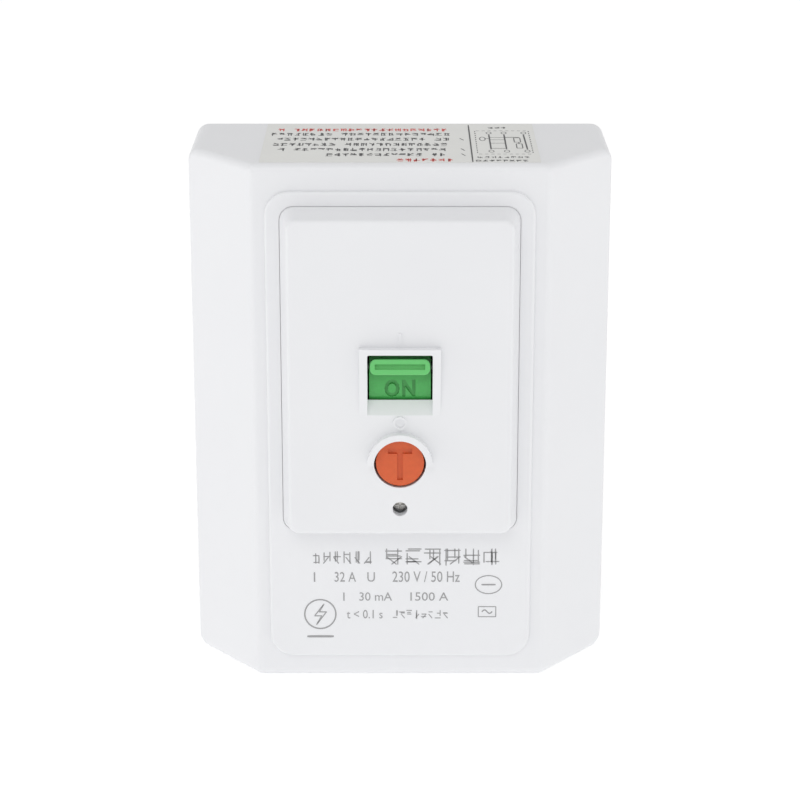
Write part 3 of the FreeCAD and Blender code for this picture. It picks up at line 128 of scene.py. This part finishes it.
def wound(material, direction, pitch, relief):
    """Adds turns of wire, side by side along a direction, to a finish."""
    tree, shader, place = parts_of(material)
    turns = node(tree, "ShaderNodeTexWave", Scale=math.tau / 20.0 / (pitch * MM))
    turns.bands_direction = direction
    tree.links.new(place.outputs["Object"], turns.inputs["Vector"])
    ridges = node(tree, "ShaderNodeBump", Strength=1.0, Distance=relief * MM)
    tree.links.new(turns.outputs["Fac"], ridges.inputs["Height"])
    old = shader.inputs["Normal"].links[0].from_node
    tree.links.new(ridges.outputs["Normal"], old.inputs["Normal"])
    return material


def banded(material, direction, start, width, colours):
    """Paints bands across a finish, each a width in mm from a start along a direction."""
    tree, shader, _ = parts_of(material)
    along = along_axis(material, direction, start, start + width * len(colours))
    bands = node(tree, "ShaderNodeValToRGB")
    bands.color_ramp.interpolation = "CONSTANT"
    stops = bands.color_ramp.elements
    for place_in_row, colour in enumerate(colours):
        stop = stops[place_in_row] if place_in_row < 2 else stops.new(0.5)
        stop.position = place_in_row / len(colours)
        stop.color = (*colour, 1.0)
    tree.links.new(along, bands.inputs["Fac"])
    tree.links.new(bands.outputs["Color"], shader.inputs["Base Color"])
    return material


def painted_highlight_to_front(material, start, end, colour):
    """Paints a highlight into a finish: a lighter colour towards the front, between two places
    along y in mm.
    """
    tree, shader, _ = parts_of(material)
    tones = node(tree, "ShaderNodeMix")
    tones.data_type = "RGBA"
    tones.inputs[MIX_SECOND].default_value = (*colour, 1.0)
    old = shader.inputs["Base Color"].links[0].from_socket
    tree.links.new(old, tones.inputs[MIX_FIRST])
    tree.links.new(along_axis(material, "Y", start, end), tones.inputs[MIX_FACTOR])
    tree.links.new(tones.outputs[MIX_RESULT], shader.inputs["Base Color"])
    return material


SHELL_WHITE = (0.83, 0.835, 0.85)
SHELL_SHADE = (0.80, 0.805, 0.825)
RESISTOR_TAN = (0.62, 0.50, 0.34)
DIODE_AMBER = (0.42, 0.12, 0.04)
BAND_BLACK = (0.02, 0.02, 0.02)
SOFT_PLASTIC = {"Subsurface_Weight": 0.15, "Subsurface_Radius": (1.0, 1.0, 1.0),
                "Subsurface_Scale": 0.5 * MM}
FINISHES = {
    "cover_white": finish("cover_white", SHELL_WHITE, SHELL_SHADE, patch=30.0, rough=0.36,
                          grain=0.28, relief=0.0035, **SOFT_PLASTIC),
    "panel_white": finish("panel_white", SHELL_WHITE, SHELL_SHADE, patch=22.0, rough=0.4,
                          grain=0.22, relief=0.003, **SOFT_PLASTIC),
    "base_white": finish("base_white", (0.77, 0.775, 0.785), (0.72, 0.725, 0.74), patch=18.0,
                         rough=0.5, grain=0.4, relief=0.008),
    "label_film": finish("label_film", (0.80, 0.80, 0.775), (0.76, 0.76, 0.735), patch=6.0,
                         rough=0.42, grain=0.5, relief=0.004),
    # The rocker's green carries a painted highlight: the handle's front end is painted lighter
    # than the drum.
    "rocker_green": painted_highlight_to_front(finish("rocker_green", (0.072, 0.43, 0.10), (0.06, 0.39, 0.085),
                                  patch=3.5, rough=0.3, grain=0.3, relief=0.004,
                                  Subsurface_Weight=0.08, Subsurface_Radius=(0.2, 1.0, 0.3),
                                  Subsurface_Scale=0.4 * MM),
                           -48.4, -49.6, (0.14, 0.57, 0.165)),
    # The sunk letters' darker green is painted shade in the recesses.
    "letter_painted_shade": finish("letter_painted_shade", (0.056, 0.35, 0.078), (0.046, 0.31, 0.066),
                           patch=1.5, rough=0.4, grain=0.3, relief=0.004),
    "button_orange": finish("button_orange", (0.72, 0.12, 0.03), (0.59, 0.095, 0.02), patch=0.9,
                            rough=0.42, spread=0.1, grain=0.16, relief=0.012,
                            Subsurface_Weight=0.12, Subsurface_Radius=(1.0, 0.3, 0.1),
                            Subsurface_Scale=0.4 * MM),
    "screw_nickel": finish("screw_nickel", (0.62, 0.61, 0.58), (0.48, 0.47, 0.45), patch=0.8,
                           rough=0.24, spread=0.1, grain=0.1, relief=0.004, Metallic=1.0),
    "bright_steel": finish("bright_steel", (0.58, 0.58, 0.59), (0.47, 0.47, 0.48), patch=2.0,
                           rough=0.3, spread=0.1, grain=0.15, relief=0.004,
                           stretch=(0.15, 1.0, 1.0), Metallic=1.0),
    "zinc_steel": finish("zinc_steel", (0.52, 0.53, 0.55), (0.42, 0.43, 0.46), patch=4.0,
                         rough=0.38, spread=0.12, grain=0.25, relief=0.004, Metallic=1.0),
    "soft_iron": finish("soft_iron", (0.42, 0.42, 0.43), (0.33, 0.33, 0.34), patch=1.5,
                        rough=0.34, spread=0.1, grain=0.12, relief=0.004,
                        stretch=(1.0, 1.0, 4.0), Metallic=1.0),
    "brass": finish("brass", (0.78, 0.56, 0.24), (0.68, 0.46, 0.18), patch=2.5, rough=0.3,
                    spread=0.1, grain=0.2, relief=0.004, Metallic=1.0),
    "copper": finish("copper", (0.80, 0.42, 0.28), (0.66, 0.31, 0.19), patch=2.0, rough=0.32,
                     spread=0.1, grain=0.2, relief=0.003, Metallic=1.0),
    "bronze_leaf": finish("bronze_leaf", (0.72, 0.47, 0.27), (0.60, 0.37, 0.20), patch=1.5,
                          rough=0.3, spread=0.08, grain=0.15, relief=0.002,
                          stretch=(0.2, 1.0, 1.0), Metallic=1.0),
    "silver_tip": finish("silver_tip", (0.82, 0.80, 0.76), (0.62, 0.60, 0.56), patch=0.6,
                         rough=0.3, spread=0.14, grain=0.12, relief=0.006, Metallic=1.0),
    "braid_copper": wound(finish("braid_copper", (0.74, 0.38, 0.25), (0.55, 0.26, 0.16),
                                 patch=0.5, rough=0.42, grain=0.12, relief=0.02, Metallic=1.0),
                          "DIAGONAL", 0.35, 0.09),
    "coil_enamel": wound(finish("coil_enamel", (0.55, 0.19, 0.07), (0.42, 0.13, 0.05), patch=1.2,
                                rough=0.24, grain=0.2, relief=0.003, Metallic=0.6,
                                Coat_Weight=0.5),
                         "Z", 0.3, 0.08),
    "strip_core": wound(finish("strip_core", (0.36, 0.36, 0.38), (0.28, 0.28, 0.30), patch=2.0,
                               rough=0.35, grain=0.2, relief=0.003, Metallic=1.0),
                        "Z", 0.45, 0.03),
    "grommet_rubber": finish("grommet_rubber", (0.035, 0.036, 0.04), (0.055, 0.056, 0.06),
                             patch=3.0, rough=0.62, spread=0.1, grain=0.2, relief=0.012),
    "frame_grey": finish("frame_grey", (0.34, 0.35, 0.36), (0.28, 0.29, 0.30), patch=5.0,
                         rough=0.5, spread=0.08, grain=0.25, relief=0.01),
    "carrier_brown": finish("carrier_brown", (0.055, 0.035, 0.028), (0.08, 0.052, 0.04),
                            patch=2.0, rough=0.45, spread=0.1, grain=0.2, relief=0.01),
    "black_moulding": finish("black_moulding", (0.018, 0.018, 0.02), (0.03, 0.03, 0.033),
                             patch=3.0, rough=0.42, spread=0.1, grain=0.22, relief=0.01),
    "epoxy_black": finish("epoxy_black", (0.02, 0.02, 0.021), (0.035, 0.035, 0.037), patch=0.8,
                          rough=0.55, spread=0.1, grain=0.08, relief=0.008),
    "lead_red": finish("lead_red", (0.52, 0.03, 0.025), (0.42, 0.022, 0.02), patch=3.0,
                       rough=0.32, grain=0.4, relief=0.006),
    "lead_blue": finish("lead_blue", (0.03, 0.11, 0.45), (0.022, 0.085, 0.36), patch=3.0,
                        rough=0.32, grain=0.4, relief=0.006),
    "board_green": wound(finish("board_green", (0.015, 0.16, 0.06), (0.03, 0.24, 0.09),
                                patch=1.1, rough=0.3, grain=0.15, relief=0.003,
                                Coat_Weight=0.4),
                         "X", 1.27, 0.02),
    "film_sleeve": finish("film_sleeve", (0.50, 0.16, 0.04), (0.42, 0.12, 0.03), patch=1.5,
                          rough=0.3, grain=0.3, relief=0.01, Coat_Weight=0.4),
    "resistor_bands": banded(finish("resistor_bands", RESISTOR_TAN, (0.55, 0.43, 0.28),
                                    patch=0.8, rough=0.38, grain=0.12, relief=0.006),
                             "X", -24.0, 0.62,
                             [RESISTOR_TAN, (0.12, 0.05, 0.02), RESISTOR_TAN, BAND_BLACK,
                              RESISTOR_TAN, (0.65, 0.20, 0.03), RESISTOR_TAN,
                              (0.62, 0.42, 0.12), RESISTOR_TAN]),
    "diode_glass": banded(finish("diode_glass", DIODE_AMBER, (0.35, 0.09, 0.03),
                                 patch=0.8, rough=0.12, grain=0.3, relief=0.002,
                                 Coat_Weight=0.8),
                          "X", -32.0, 1.1,
                          [DIODE_AMBER] * 3 + [BAND_BLACK] + [DIODE_AMBER] * 2
                          + [BAND_BLACK, DIODE_AMBER]),
    "absorber_blue": finish("absorber_blue", (0.025, 0.12, 0.36), (0.02, 0.095, 0.29), patch=1.0,
                            rough=0.3, grain=0.2, relief=0.012, Coat_Weight=0.3),
    "bobbin_nylon": finish("bobbin_nylon", (0.72, 0.68, 0.55), (0.66, 0.62, 0.49), patch=2.5,
                           rough=0.42, grain=0.25, relief=0.006,
                           Subsurface_Weight=0.2, Subsurface_Scale=0.5 * MM),
    "case_ink": finish("case_ink", (0.315, 0.315, 0.32), (0.36, 0.36, 0.365), patch=0.7,
                       rough=0.5, grain=0.15, relief=0.003),
    "label_ink_black": finish("label_ink_black", (0.035, 0.035, 0.038), (0.07, 0.07, 0.075),
                              patch=0.8, rough=0.5, grain=0.15, relief=0.002),
    "label_ink_red": finish("label_ink_red", (0.62, 0.045, 0.035), (0.70, 0.09, 0.07), patch=0.8,
                            rough=0.5, grain=0.15, relief=0.002),
}
NODE_FINISHES = {
    "cover_white": "front_cover",
    "panel_white": "face_panel",
    "base_white": "back_base",
    "label_film": "rating_label",
    "rocker_green": "rocker_handle",
    "button_orange": "test_button",
    "screw_nickel": "cover_screw frame_screws board_screws terminal_screws",
    "bright_steel": "rocker_axle carrier_axle rocker_link_pin carrier_link_pin lever_pin"
                    " drive_link rocker_spring plunger_spring test_button_spring",
    "zinc_steel": "solenoid_yoke arc_plates_live arc_plates_neutral",
    "soft_iron": "solenoid_core solenoid_plunger",
    "brass": "base_insert load_terminal_neutral load_terminal_live line_terminal_neutral"
             " line_terminal_live test_rivet",
    "copper": "fixed_contact_live fixed_contact_neutral moving_contact_live"
              " moving_contact_neutral",
    "bronze_leaf": "test_leaf",
    "silver_tip": "moving_tips fixed_tips",
    "braid_copper": "contact_braid_live contact_braid_neutral",
    "coil_enamel": "solenoid_coil transformer_winding",
    "strip_core": "transformer_core",
    "grommet_rubber": "cable_grommet",
    "frame_grey": "mechanism_frame leaf_block",
    "carrier_brown": "contact_carrier",
    "black_moulding": "transformer_case transformer_lid trip_lever",
    "epoxy_black": "controller_chip thyristor",
    "lead_red": "line_lead_live",
    "lead_blue": "line_lead_neutral",
    "board_green": "circuit_board",
    "film_sleeve": "board_capacitors",
    "resistor_bands": "board_resistors",
    "diode_glass": "board_diodes",
    "absorber_blue": "surge_absorber",
    "bobbin_nylon": "solenoid_bobbin",
}


def dress(item, finish_name):
    """Gives a piece one finish all over."""
    item.data.materials.clear()
    item.data.materials.append(FINISHES[finish_name])


for finish_name, names in NODE_FINISHES.items():
    for name in names.split():
        dress(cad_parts[name], finish_name)


# ---------------------------------------------------------------- making tools

def clear_selection():
    """Leaves object mode with nothing selected."""
    if bpy.context.object and bpy.context.object.mode != "OBJECT":
        bpy.ops.object.mode_set(mode="OBJECT")
    bpy.ops.object.select_all(action="DESELECT")


def pick(*items):
    """Selects only these objects, the last of them active."""
    clear_selection()
    for item in items:
        item.select_set(True)
    bpy.context.view_layer.objects.active = items[-1]


def lay(item, matrix):
    """Places a flat drawing made in its own x and y on the object."""
    item.data.transform(matrix)
    item.data.update()
    return item


def joined(items, name):
    """Several meshes as one named piece."""
    pick(*items)
    bpy.ops.object.join()
    piece = bpy.context.object
    piece.name = name
    piece.data.name = name
    return piece


def bar():
    """One stroke of ink: a unit slab with softened edges, lying in x and y."""
    clear_selection()
    bpy.ops.mesh.primitive_cube_add(size=1.0)
    bpy.ops.object.mode_set(mode="EDIT")
    bpy.ops.mesh.select_all(action="SELECT")
    bpy.ops.mesh.bevel(offset=0.12, segments=1, affect="EDGES")
    bpy.ops.object.mode_set(mode="OBJECT")
    return bpy.context.object


def stroke(start, end, width):
    """A copy of the ink stroke from one point to another in mm."""
    ahead = Vector(end) - Vector(start)
    middle = (Vector(start) + Vector(end)) / 2.0
    item = INK_BAR.copy()
    item.data = INK_BAR.data.copy()
    bpy.context.collection.objects.link(item)
    turn = Matrix.Rotation(math.atan2(ahead.y, ahead.x), 4, "Z")
    size = Matrix.Diagonal((ahead.length + width * 0.5, width, INK_HEIGHT, 1.0))
    item.data.transform(Matrix.Translation((middle.x, middle.y, INK_HEIGHT / 2.0)) @ turn @ size)
    return item


LEVEL_SHARE, UPRIGHT_SHARE = 0.42, 0.36


def blank_sign(x, y, width, height, line, strokes):
    """Strokes in one cell that read as a printed sign but are no letter of any script.

    About four in ten lie level, as many stand upright and the rest slant."""
    left, right = x + line / 2.0, x + width - line / 2.0
    low, high = y + line / 2.0, y + height - line / 2.0
    made = []
    for _ in range(strokes):
        way = random.random()
        across = random.uniform(left, right)
        level = random.uniform(low, high)
        if way < LEVEL_SHARE:
            half = random.uniform(0.3, 0.5) * width
            middle = min(max(across, left + half), right - half)
            made.append(stroke((middle - half, level), (middle + half, level), line))
        elif way < LEVEL_SHARE + UPRIGHT_SHARE:
            half = random.uniform(0.25, 0.5) * height
            middle = min(max(level, low + half), high - half)
            made.append(stroke((across, middle - half), (across, middle + half), line))
        else:
            slant = random.choice((-1.0, 1.0)) * 0.3 * width
            start = min(max(across, left + abs(slant)), right - abs(slant))
            made.append(stroke((start - slant, low), (start + slant, (low + high) / 2.0),
                               line))
    return made


def sign_row(count, start, pitch, foot, width, height, line, strokes):
    """Blank signs side by side, a pitch apart."""
    made = []
    for place in range(count):
        made += blank_sign(start + pitch * place, foot, width, height, line, strokes)
    return made


def outline(corners, line):
    """A closed line of strokes through some corners."""
    return [stroke(a, b, line) for a, b in zip(corners, corners[1:] + corners[:1])]


def oval(centre, half_width, half_height, line, parts=28):
    """A closed oval of strokes."""
    corners = []
    for part in range(parts):
        angle = math.tau * part / parts
        corners.append((centre[0] + half_width * math.cos(angle),
                        centre[1] + half_height * math.sin(angle)))
    return outline(corners, line)


def words(text, x, y, width, height, weight=0.0, spacing=1.0):
    """Plain lettering as a thin raised mesh, fitted to a width and a height in mm."""
    clear_selection()
    bpy.ops.object.text_add()
    item = bpy.context.object
    item.data.body = text
    item.data.resolution_u = 3
    item.data.offset = weight
    item.data.space_character = spacing
    item.data.extrude = 0.01
    bpy.ops.object.convert(target="MESH")
    item = bpy.context.object
    spots = [vertex.co for vertex in item.data.vertices]
    low = Vector([min(spot[i] for spot in spots) for i in range(3)])
    high = Vector([max(spot[i] for spot in spots) for i in range(3)])
    size = high - low
    fit = Matrix.Diagonal((width / size.x, height / size.y, INK_HEIGHT / size.z, 1.0))
    item.data.transform(Matrix.Translation((x, y, 0.0)) @ fit @ Matrix.Translation(-low))
    return item


def on_plate():
    """From a drawing in mm, seen from the front, to the raised plate's front."""
    return (Matrix.Translation((0.0, -PLATE_FRONT * MM, 0.0))
            @ Matrix.Rotation(math.radians(90.0), 4, "X") @ Matrix.Scale(MM, 4))


def on_label():
    """From a drawing in mm, x to the right and y from the wall outwards, to the label's top."""
    return (Matrix.Translation((0.0, 0.0, LABEL_TOP * MM))
            @ Matrix.Diagonal((MM, -MM, MM, 1.0)))


def outward(item):
    """Points every face outwards."""
    pick(item)
    bpy.ops.object.mode_set(mode="EDIT")
    bpy.ops.mesh.select_all(action="SELECT")
    bpy.ops.mesh.remove_doubles(threshold=1e-7)
    bpy.ops.mesh.normals_make_consistent(inside=False)
    bpy.ops.object.mode_set(mode="OBJECT")
    return item


# ---------------------------------------------------------------- print on the cover

INK_BAR = bar()


# Each marking is its text, left end, foot, width and height.
MARKINGS = (
    ("I", -18.2, -33.85, 0.3, 2.15),
    ("32 A", -13.8, -33.85, 4.5, 2.2),
    ("U", -6.9, -33.85, 1.6, 2.15),
    ("230 V / 50 Hz", -1.6, -33.9, 14.2, 2.4),
    ("I", -12.0, -38.15, 0.26, 1.85),
    ("30 mA", -8.6, -38.15, 6.9, 1.9),
    ("1500 A", 2.2, -38.15, 8.0, 1.9),
    ("t < 0.1 s", -11.3, -42.2, 7.6, 1.95),
)


def cover_print():
    """The grey printing below the panel: a title of blank signs, generic ratings and marks."""
    made = sign_row(6, -18.4, 2.15, -29.8, 1.7, 2.9, 0.24, 4)
    made += sign_row(6, -3.0, 4.1, -30.0, 3.5, 3.7, 0.26, 8)
    made += [words(*marking) for marking in MARKINGS]
    made += sign_row(8, -1.6, 1.52, -42.2, 1.15, 1.95, 0.2, 3)
    made += oval((18.7, -34.5), 2.8, 2.05, 0.22)
    made += [stroke((17.3, -34.5), (20.1, -34.5), 0.34)]
    made += outline([(16.6, -41.8), (20.3, -41.8), (20.3, -39.5), (16.6, -39.5)], 0.2)
    wave = [(17.4 + 0.3 * step, -40.65 + 0.42 * math.sin(math.tau * step / 7.0))
            for step in range(8)]
    made += [stroke(a, b, 0.26) for a, b in zip(wave, wave[1:])]
    made += oval((-16.9, -41.2), 3.3, 3.3, 0.3, 40)
    bolt = [(-16.1, -38.9), (-18.1, -41.6), (-16.6, -41.6), (-17.7, -43.6), (-15.6, -40.7),
            (-17.1, -40.7)]
    made += outline(bolt, 0.24)
    made += [stroke((-19.6, -46.3), (-14.2, -46.3), 0.5)]
    return joined(made, "cover_print")


print_piece = outward(lay(cover_print(), on_plate()))
dress(print_piece, "case_ink")
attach(print_piece, "case")


# ---------------------------------------------------------------- print on the label

# Each row is its middle line's distance from the wall, its left end and its right end.
TEXT_ROWS = (
    (12.3, -27.3, 11.5), (17.4, -25.9, 11.4), (22.7, -26.4, 11.3), (27.8, -25.1, 11.3),
    (32.8, -15.1, 11.2),
)
RED_ROWS = ((7.7, -26.0, 12.0), (38.0, -3.9, 12.1))
ROW_HEIGHT = 2.9
SIGN_PITCH = 1.66
SIGN_WIDTH = 1.36
GAP_SHARE = 0.06
NOTE_PITCH = 1.35
THIN_LINE = 0.14


def text_row(middle, start, end, line=0.24):
    """A row of blank signs with a gap here and there."""
    made = []
    for place in range(int((end - start) / SIGN_PITCH)):
        if random.random() < GAP_SHARE:
            continue
        made += blank_sign(start + SIGN_PITCH * place, middle - ROW_HEIGHT / 2.0,
                           SIGN_WIDTH, ROW_HEIGHT, line, 5)
    return made


def label_text_black():
    """The black rows, the row numbers and the dividing line."""
    made = []
    for middle, start, end in TEXT_ROWS:
        made += text_row(middle, start, end)
    for middle in (17.4, 27.8, 32.8):
        made += [stroke((12.6, middle - 0.9), (13.3, middle + 0.9), 0.22)]
    made += [stroke((14.7, 2.6), (14.7, 39.6), 0.3)]
    return joined(made, "label_text_black")


def label_text_red():
    """The red first and last rows."""
    made = []
    for middle, start, end in RED_ROWS:
        made += text_row(middle, start, end, 0.27)
    return joined(made, "label_text_red")


def terminals(x):
    """The two small rings at the ends of a line in the diagram."""
    return [part for depth in (10.9, 29.4)
            for part in oval((x, depth), 0.55, 1.1, THIN_LINE, 10)]


def wiring_diagram():
    """A small generic diagram: two lines through a sensing ring to a tripping coil."""
    thin, thick = THIN_LINE, 0.32
    made = []
    for x in (15.9, 27.3):
        for step in range(11):
            depth = 9.0 + 2.1 * step
            made.append(stroke((x, depth), (x, depth + 0.9), 0.2))
    for depth in (8.6, 32.2):
        for step in range(9):
            x = 16.2 + 1.25 * step
            made.append(stroke((x, depth), (x + 0.6, depth), thin))
    for x in (18.8, 22.0):
        made.append(stroke((x, 12.6), (x, 27.4), thick))
        made += terminals(x)
    for depth, line in ((15.6, thin), (17.9, thin), (21.4, thin), (26.6, 0.2)):
        made.append(stroke((18.8, depth), (22.0, depth), line))
    made += oval((17.3, 17.0), 0.6, 1.9, 0.18, 12)
    made.append(stroke((17.9, 16.6), (18.8, 16.6), thin))
    made.append(stroke((22.0, 15.4), (25.0, 15.4), 0.36))
    made += outline([(23.9, 16.0), (25.2, 16.0), (25.2, 20.4), (23.9, 20.4)], 0.2)
    made += outline([(24.2, 22.0), (25.4, 22.0), (25.4, 26.4), (24.2, 26.4)], 0.2)
    made.append(stroke((24.8, 20.4), (24.8, 22.0), 0.2))
    made.append(stroke((26.1, 12.6), (26.3, 27.6), thick))
    made += terminals(26.2)
    for middle, start, end, line in ((5.4, 18.9, 23.7, 0.2), (35.2, 15.8, 26.8, 0.15),
                                     (38.6, 15.4, 27.0, 0.2)):
        made += sign_row(int((end - start) / NOTE_PITCH), start, NOTE_PITCH, middle - 0.85,
                         1.1, 1.7, line, 4)
    return joined(made, "wiring_diagram")


for piece, ink in ((label_text_black(), "label_ink_black"), (label_text_red(), "label_ink_red"),
                   (wiring_diagram(), "label_ink_black")):
    outward(lay(piece, on_label()))
    dress(piece, ink)
    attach(piece, "case")


# ---------------------------------------------------------------- the rocker and its letters

def letter_cutter():
    """The letters ON as a thick block, standing in the drum's face below the handle."""
    width, height, thick = 6.3, 4.0, 2.0
    text = words("ON", -width / 2.0, -height / 2.0, width, height, weight=0.04, spacing=1.2)
    text.data.transform(Matrix.Diagonal((1.0, 1.0, thick / INK_HEIGHT, 1.0)))
    down = math.asin((LETTER_HEIGHT - ROCKER_AXIS[1]) / DRUM_RADIUS)
    stand = Matrix.Rotation(math.radians(90.0) - down, 4, "X")
    reach = DRUM_RADIUS - LETTER_DEPTH
    outwards = ROCKER_AXIS[0] + reach * math.cos(down)
    up = ROCKER_AXIS[1] + reach * math.sin(down)
    text.data.transform(Matrix.Scale(MM, 4) @ Matrix.Translation((0.0, -outwards, up)) @ stand)
    # The cut faces take this darker green, painted shade inside the letters.
    dress(text, "letter_painted_shade")
    return outward(text)


CORNER_DEGREES = 32.0


def own_copy(source_name, name):
    """A merged copy of a CAD piece, free of its body."""
    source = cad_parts[source_name]
    piece = source.copy()
    piece.data = source.data.copy()
    piece.name = name
    for key in list(piece.keys()):
        del piece[key]
    piece.parent = None
    bpy.context.collection.objects.link(piece)
    if piece.data.has_custom_normals:
        pick(piece)
        bpy.ops.mesh.customdata_custom_splitnormals_clear()
    return outward(piece)


def smooth(piece):
    """Smooth shading that keeps the corners."""
    pick(piece)
    bpy.ops.object.shade_smooth_by_angle(angle=math.radians(CORNER_DEGREES))


def lettered_rocker():
    """The rocker with its letters sunk into the drum, their cut faces in a darker green that is
    painted shade.
    """
    piece = own_copy("rocker_handle", "rocker_lettered")
    dress(piece, "rocker_green")
    # A darker green for the letters' cut faces: painted shade.
    piece.data.materials.append(FINISHES["letter_painted_shade"])
    cutter = letter_cutter()
    pick(piece)
    cut = piece.modifiers.new("letters", "BOOLEAN")
    cut.operation = "DIFFERENCE"
    cut.solver = "EXACT"
    cut.object = cutter
    bpy.ops.object.modifier_apply(modifier=cut.name)
    bpy.data.objects.remove(cutter)
    smooth(piece)
    return piece


rocker = lettered_rocker()
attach(rocker, "rocker")
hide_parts("rocker_handle")


# ---------------------------------------------------------------- springs

def pressed_spring(source_name):
    """A smooth steel copy of a spring, held by the case."""
    piece = own_copy(source_name, source_name + "_shown")
    smooth(piece)
    dress(piece, "bright_steel")
    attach(piece, "case")
    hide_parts(source_name)
    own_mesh(piece)


pressed_spring("test_button_spring")
pressed_spring("plunger_spring")

bpy.data.objects.remove(INK_BAR)


# ---------------------------------------------------------------- floor, light and camera

PURE_WHITE = (1.0, 1.0, 1.0, 1.0)
LENS_MM = 114.48
LOOK_DOWN_DEGREES = 17.57


def floor():
    """A wide pale floor that glows a little."""
    clear_selection()
    bpy.ops.mesh.primitive_plane_add(size=12.0, location=(0.0, 0.0, FLOOR_LEVEL * MM))
    item = bpy.context.object
    item.name = "floor"
    material = bpy.data.materials.new("floor_white")
    material.use_nodes = True
    shader = material.node_tree.nodes["Principled BSDF"]
    shader.inputs["Base Color"].default_value = (0.92, 0.92, 0.92, 1.0)
    shader.inputs["Roughness"].default_value = 0.7
    shader.inputs["Emission Color"].default_value = PURE_WHITE
    shader.inputs["Emission Strength"].default_value = 0.31
    item.data.materials.append(material)


def softbox(name, place, size, power):
    """A large rectangular lamp that faces the device."""
    lamp = bpy.data.lights.new(name, "AREA")
    lamp.shape = "RECTANGLE"
    lamp.size, lamp.size_y = size
    lamp.energy = power
    item = bpy.data.objects.new(name, lamp)
    bpy.context.collection.objects.link(item)
    item.location = place
    item.rotation_euler = (-Vector(place)).to_track_quat("-Z", "Y").to_euler()


def sky(strength):
    """An even white surround."""
    world = bpy.context.scene.world or bpy.data.worlds.new("studio")
    bpy.context.scene.world = world
    world.use_nodes = True
    surround = world.node_tree.nodes["Background"]
    surround.inputs["Color"].default_value = PURE_WHITE
    surround.inputs["Strength"].default_value = strength


def camera():
    """The camera, a little above the front and looking down on it."""
    lens = bpy.data.cameras.new("camera")
    lens.lens = LENS_MM
    lens.sensor_width = 36.0
    lens.clip_start = 0.01
    lens.clip_end = 30.0
    item = bpy.data.objects.new("camera", lens)
    bpy.context.collection.objects.link(item)
    item.location = (0.0, -0.54324, 0.16498)
    item.rotation_euler = (math.radians(90.0 - LOOK_DOWN_DEGREES), 0.0, 0.0)
    bpy.context.scene.camera = item


floor()
sky(0.70)
softbox("key_front", (-0.5, -2.95, 2.68), (2.4, 2.0), 23.0)
softbox("side_left", (-1.1, -0.15, 0.2), (0.6, 0.9), 1.5)
softbox("side_right", (1.1, -0.15, 0.2), (0.6, 0.9), 1.25)
camera()
bpy.context.scene.view_settings.view_transform = "Standard"
bpy.context.scene.view_settings.look = "None"
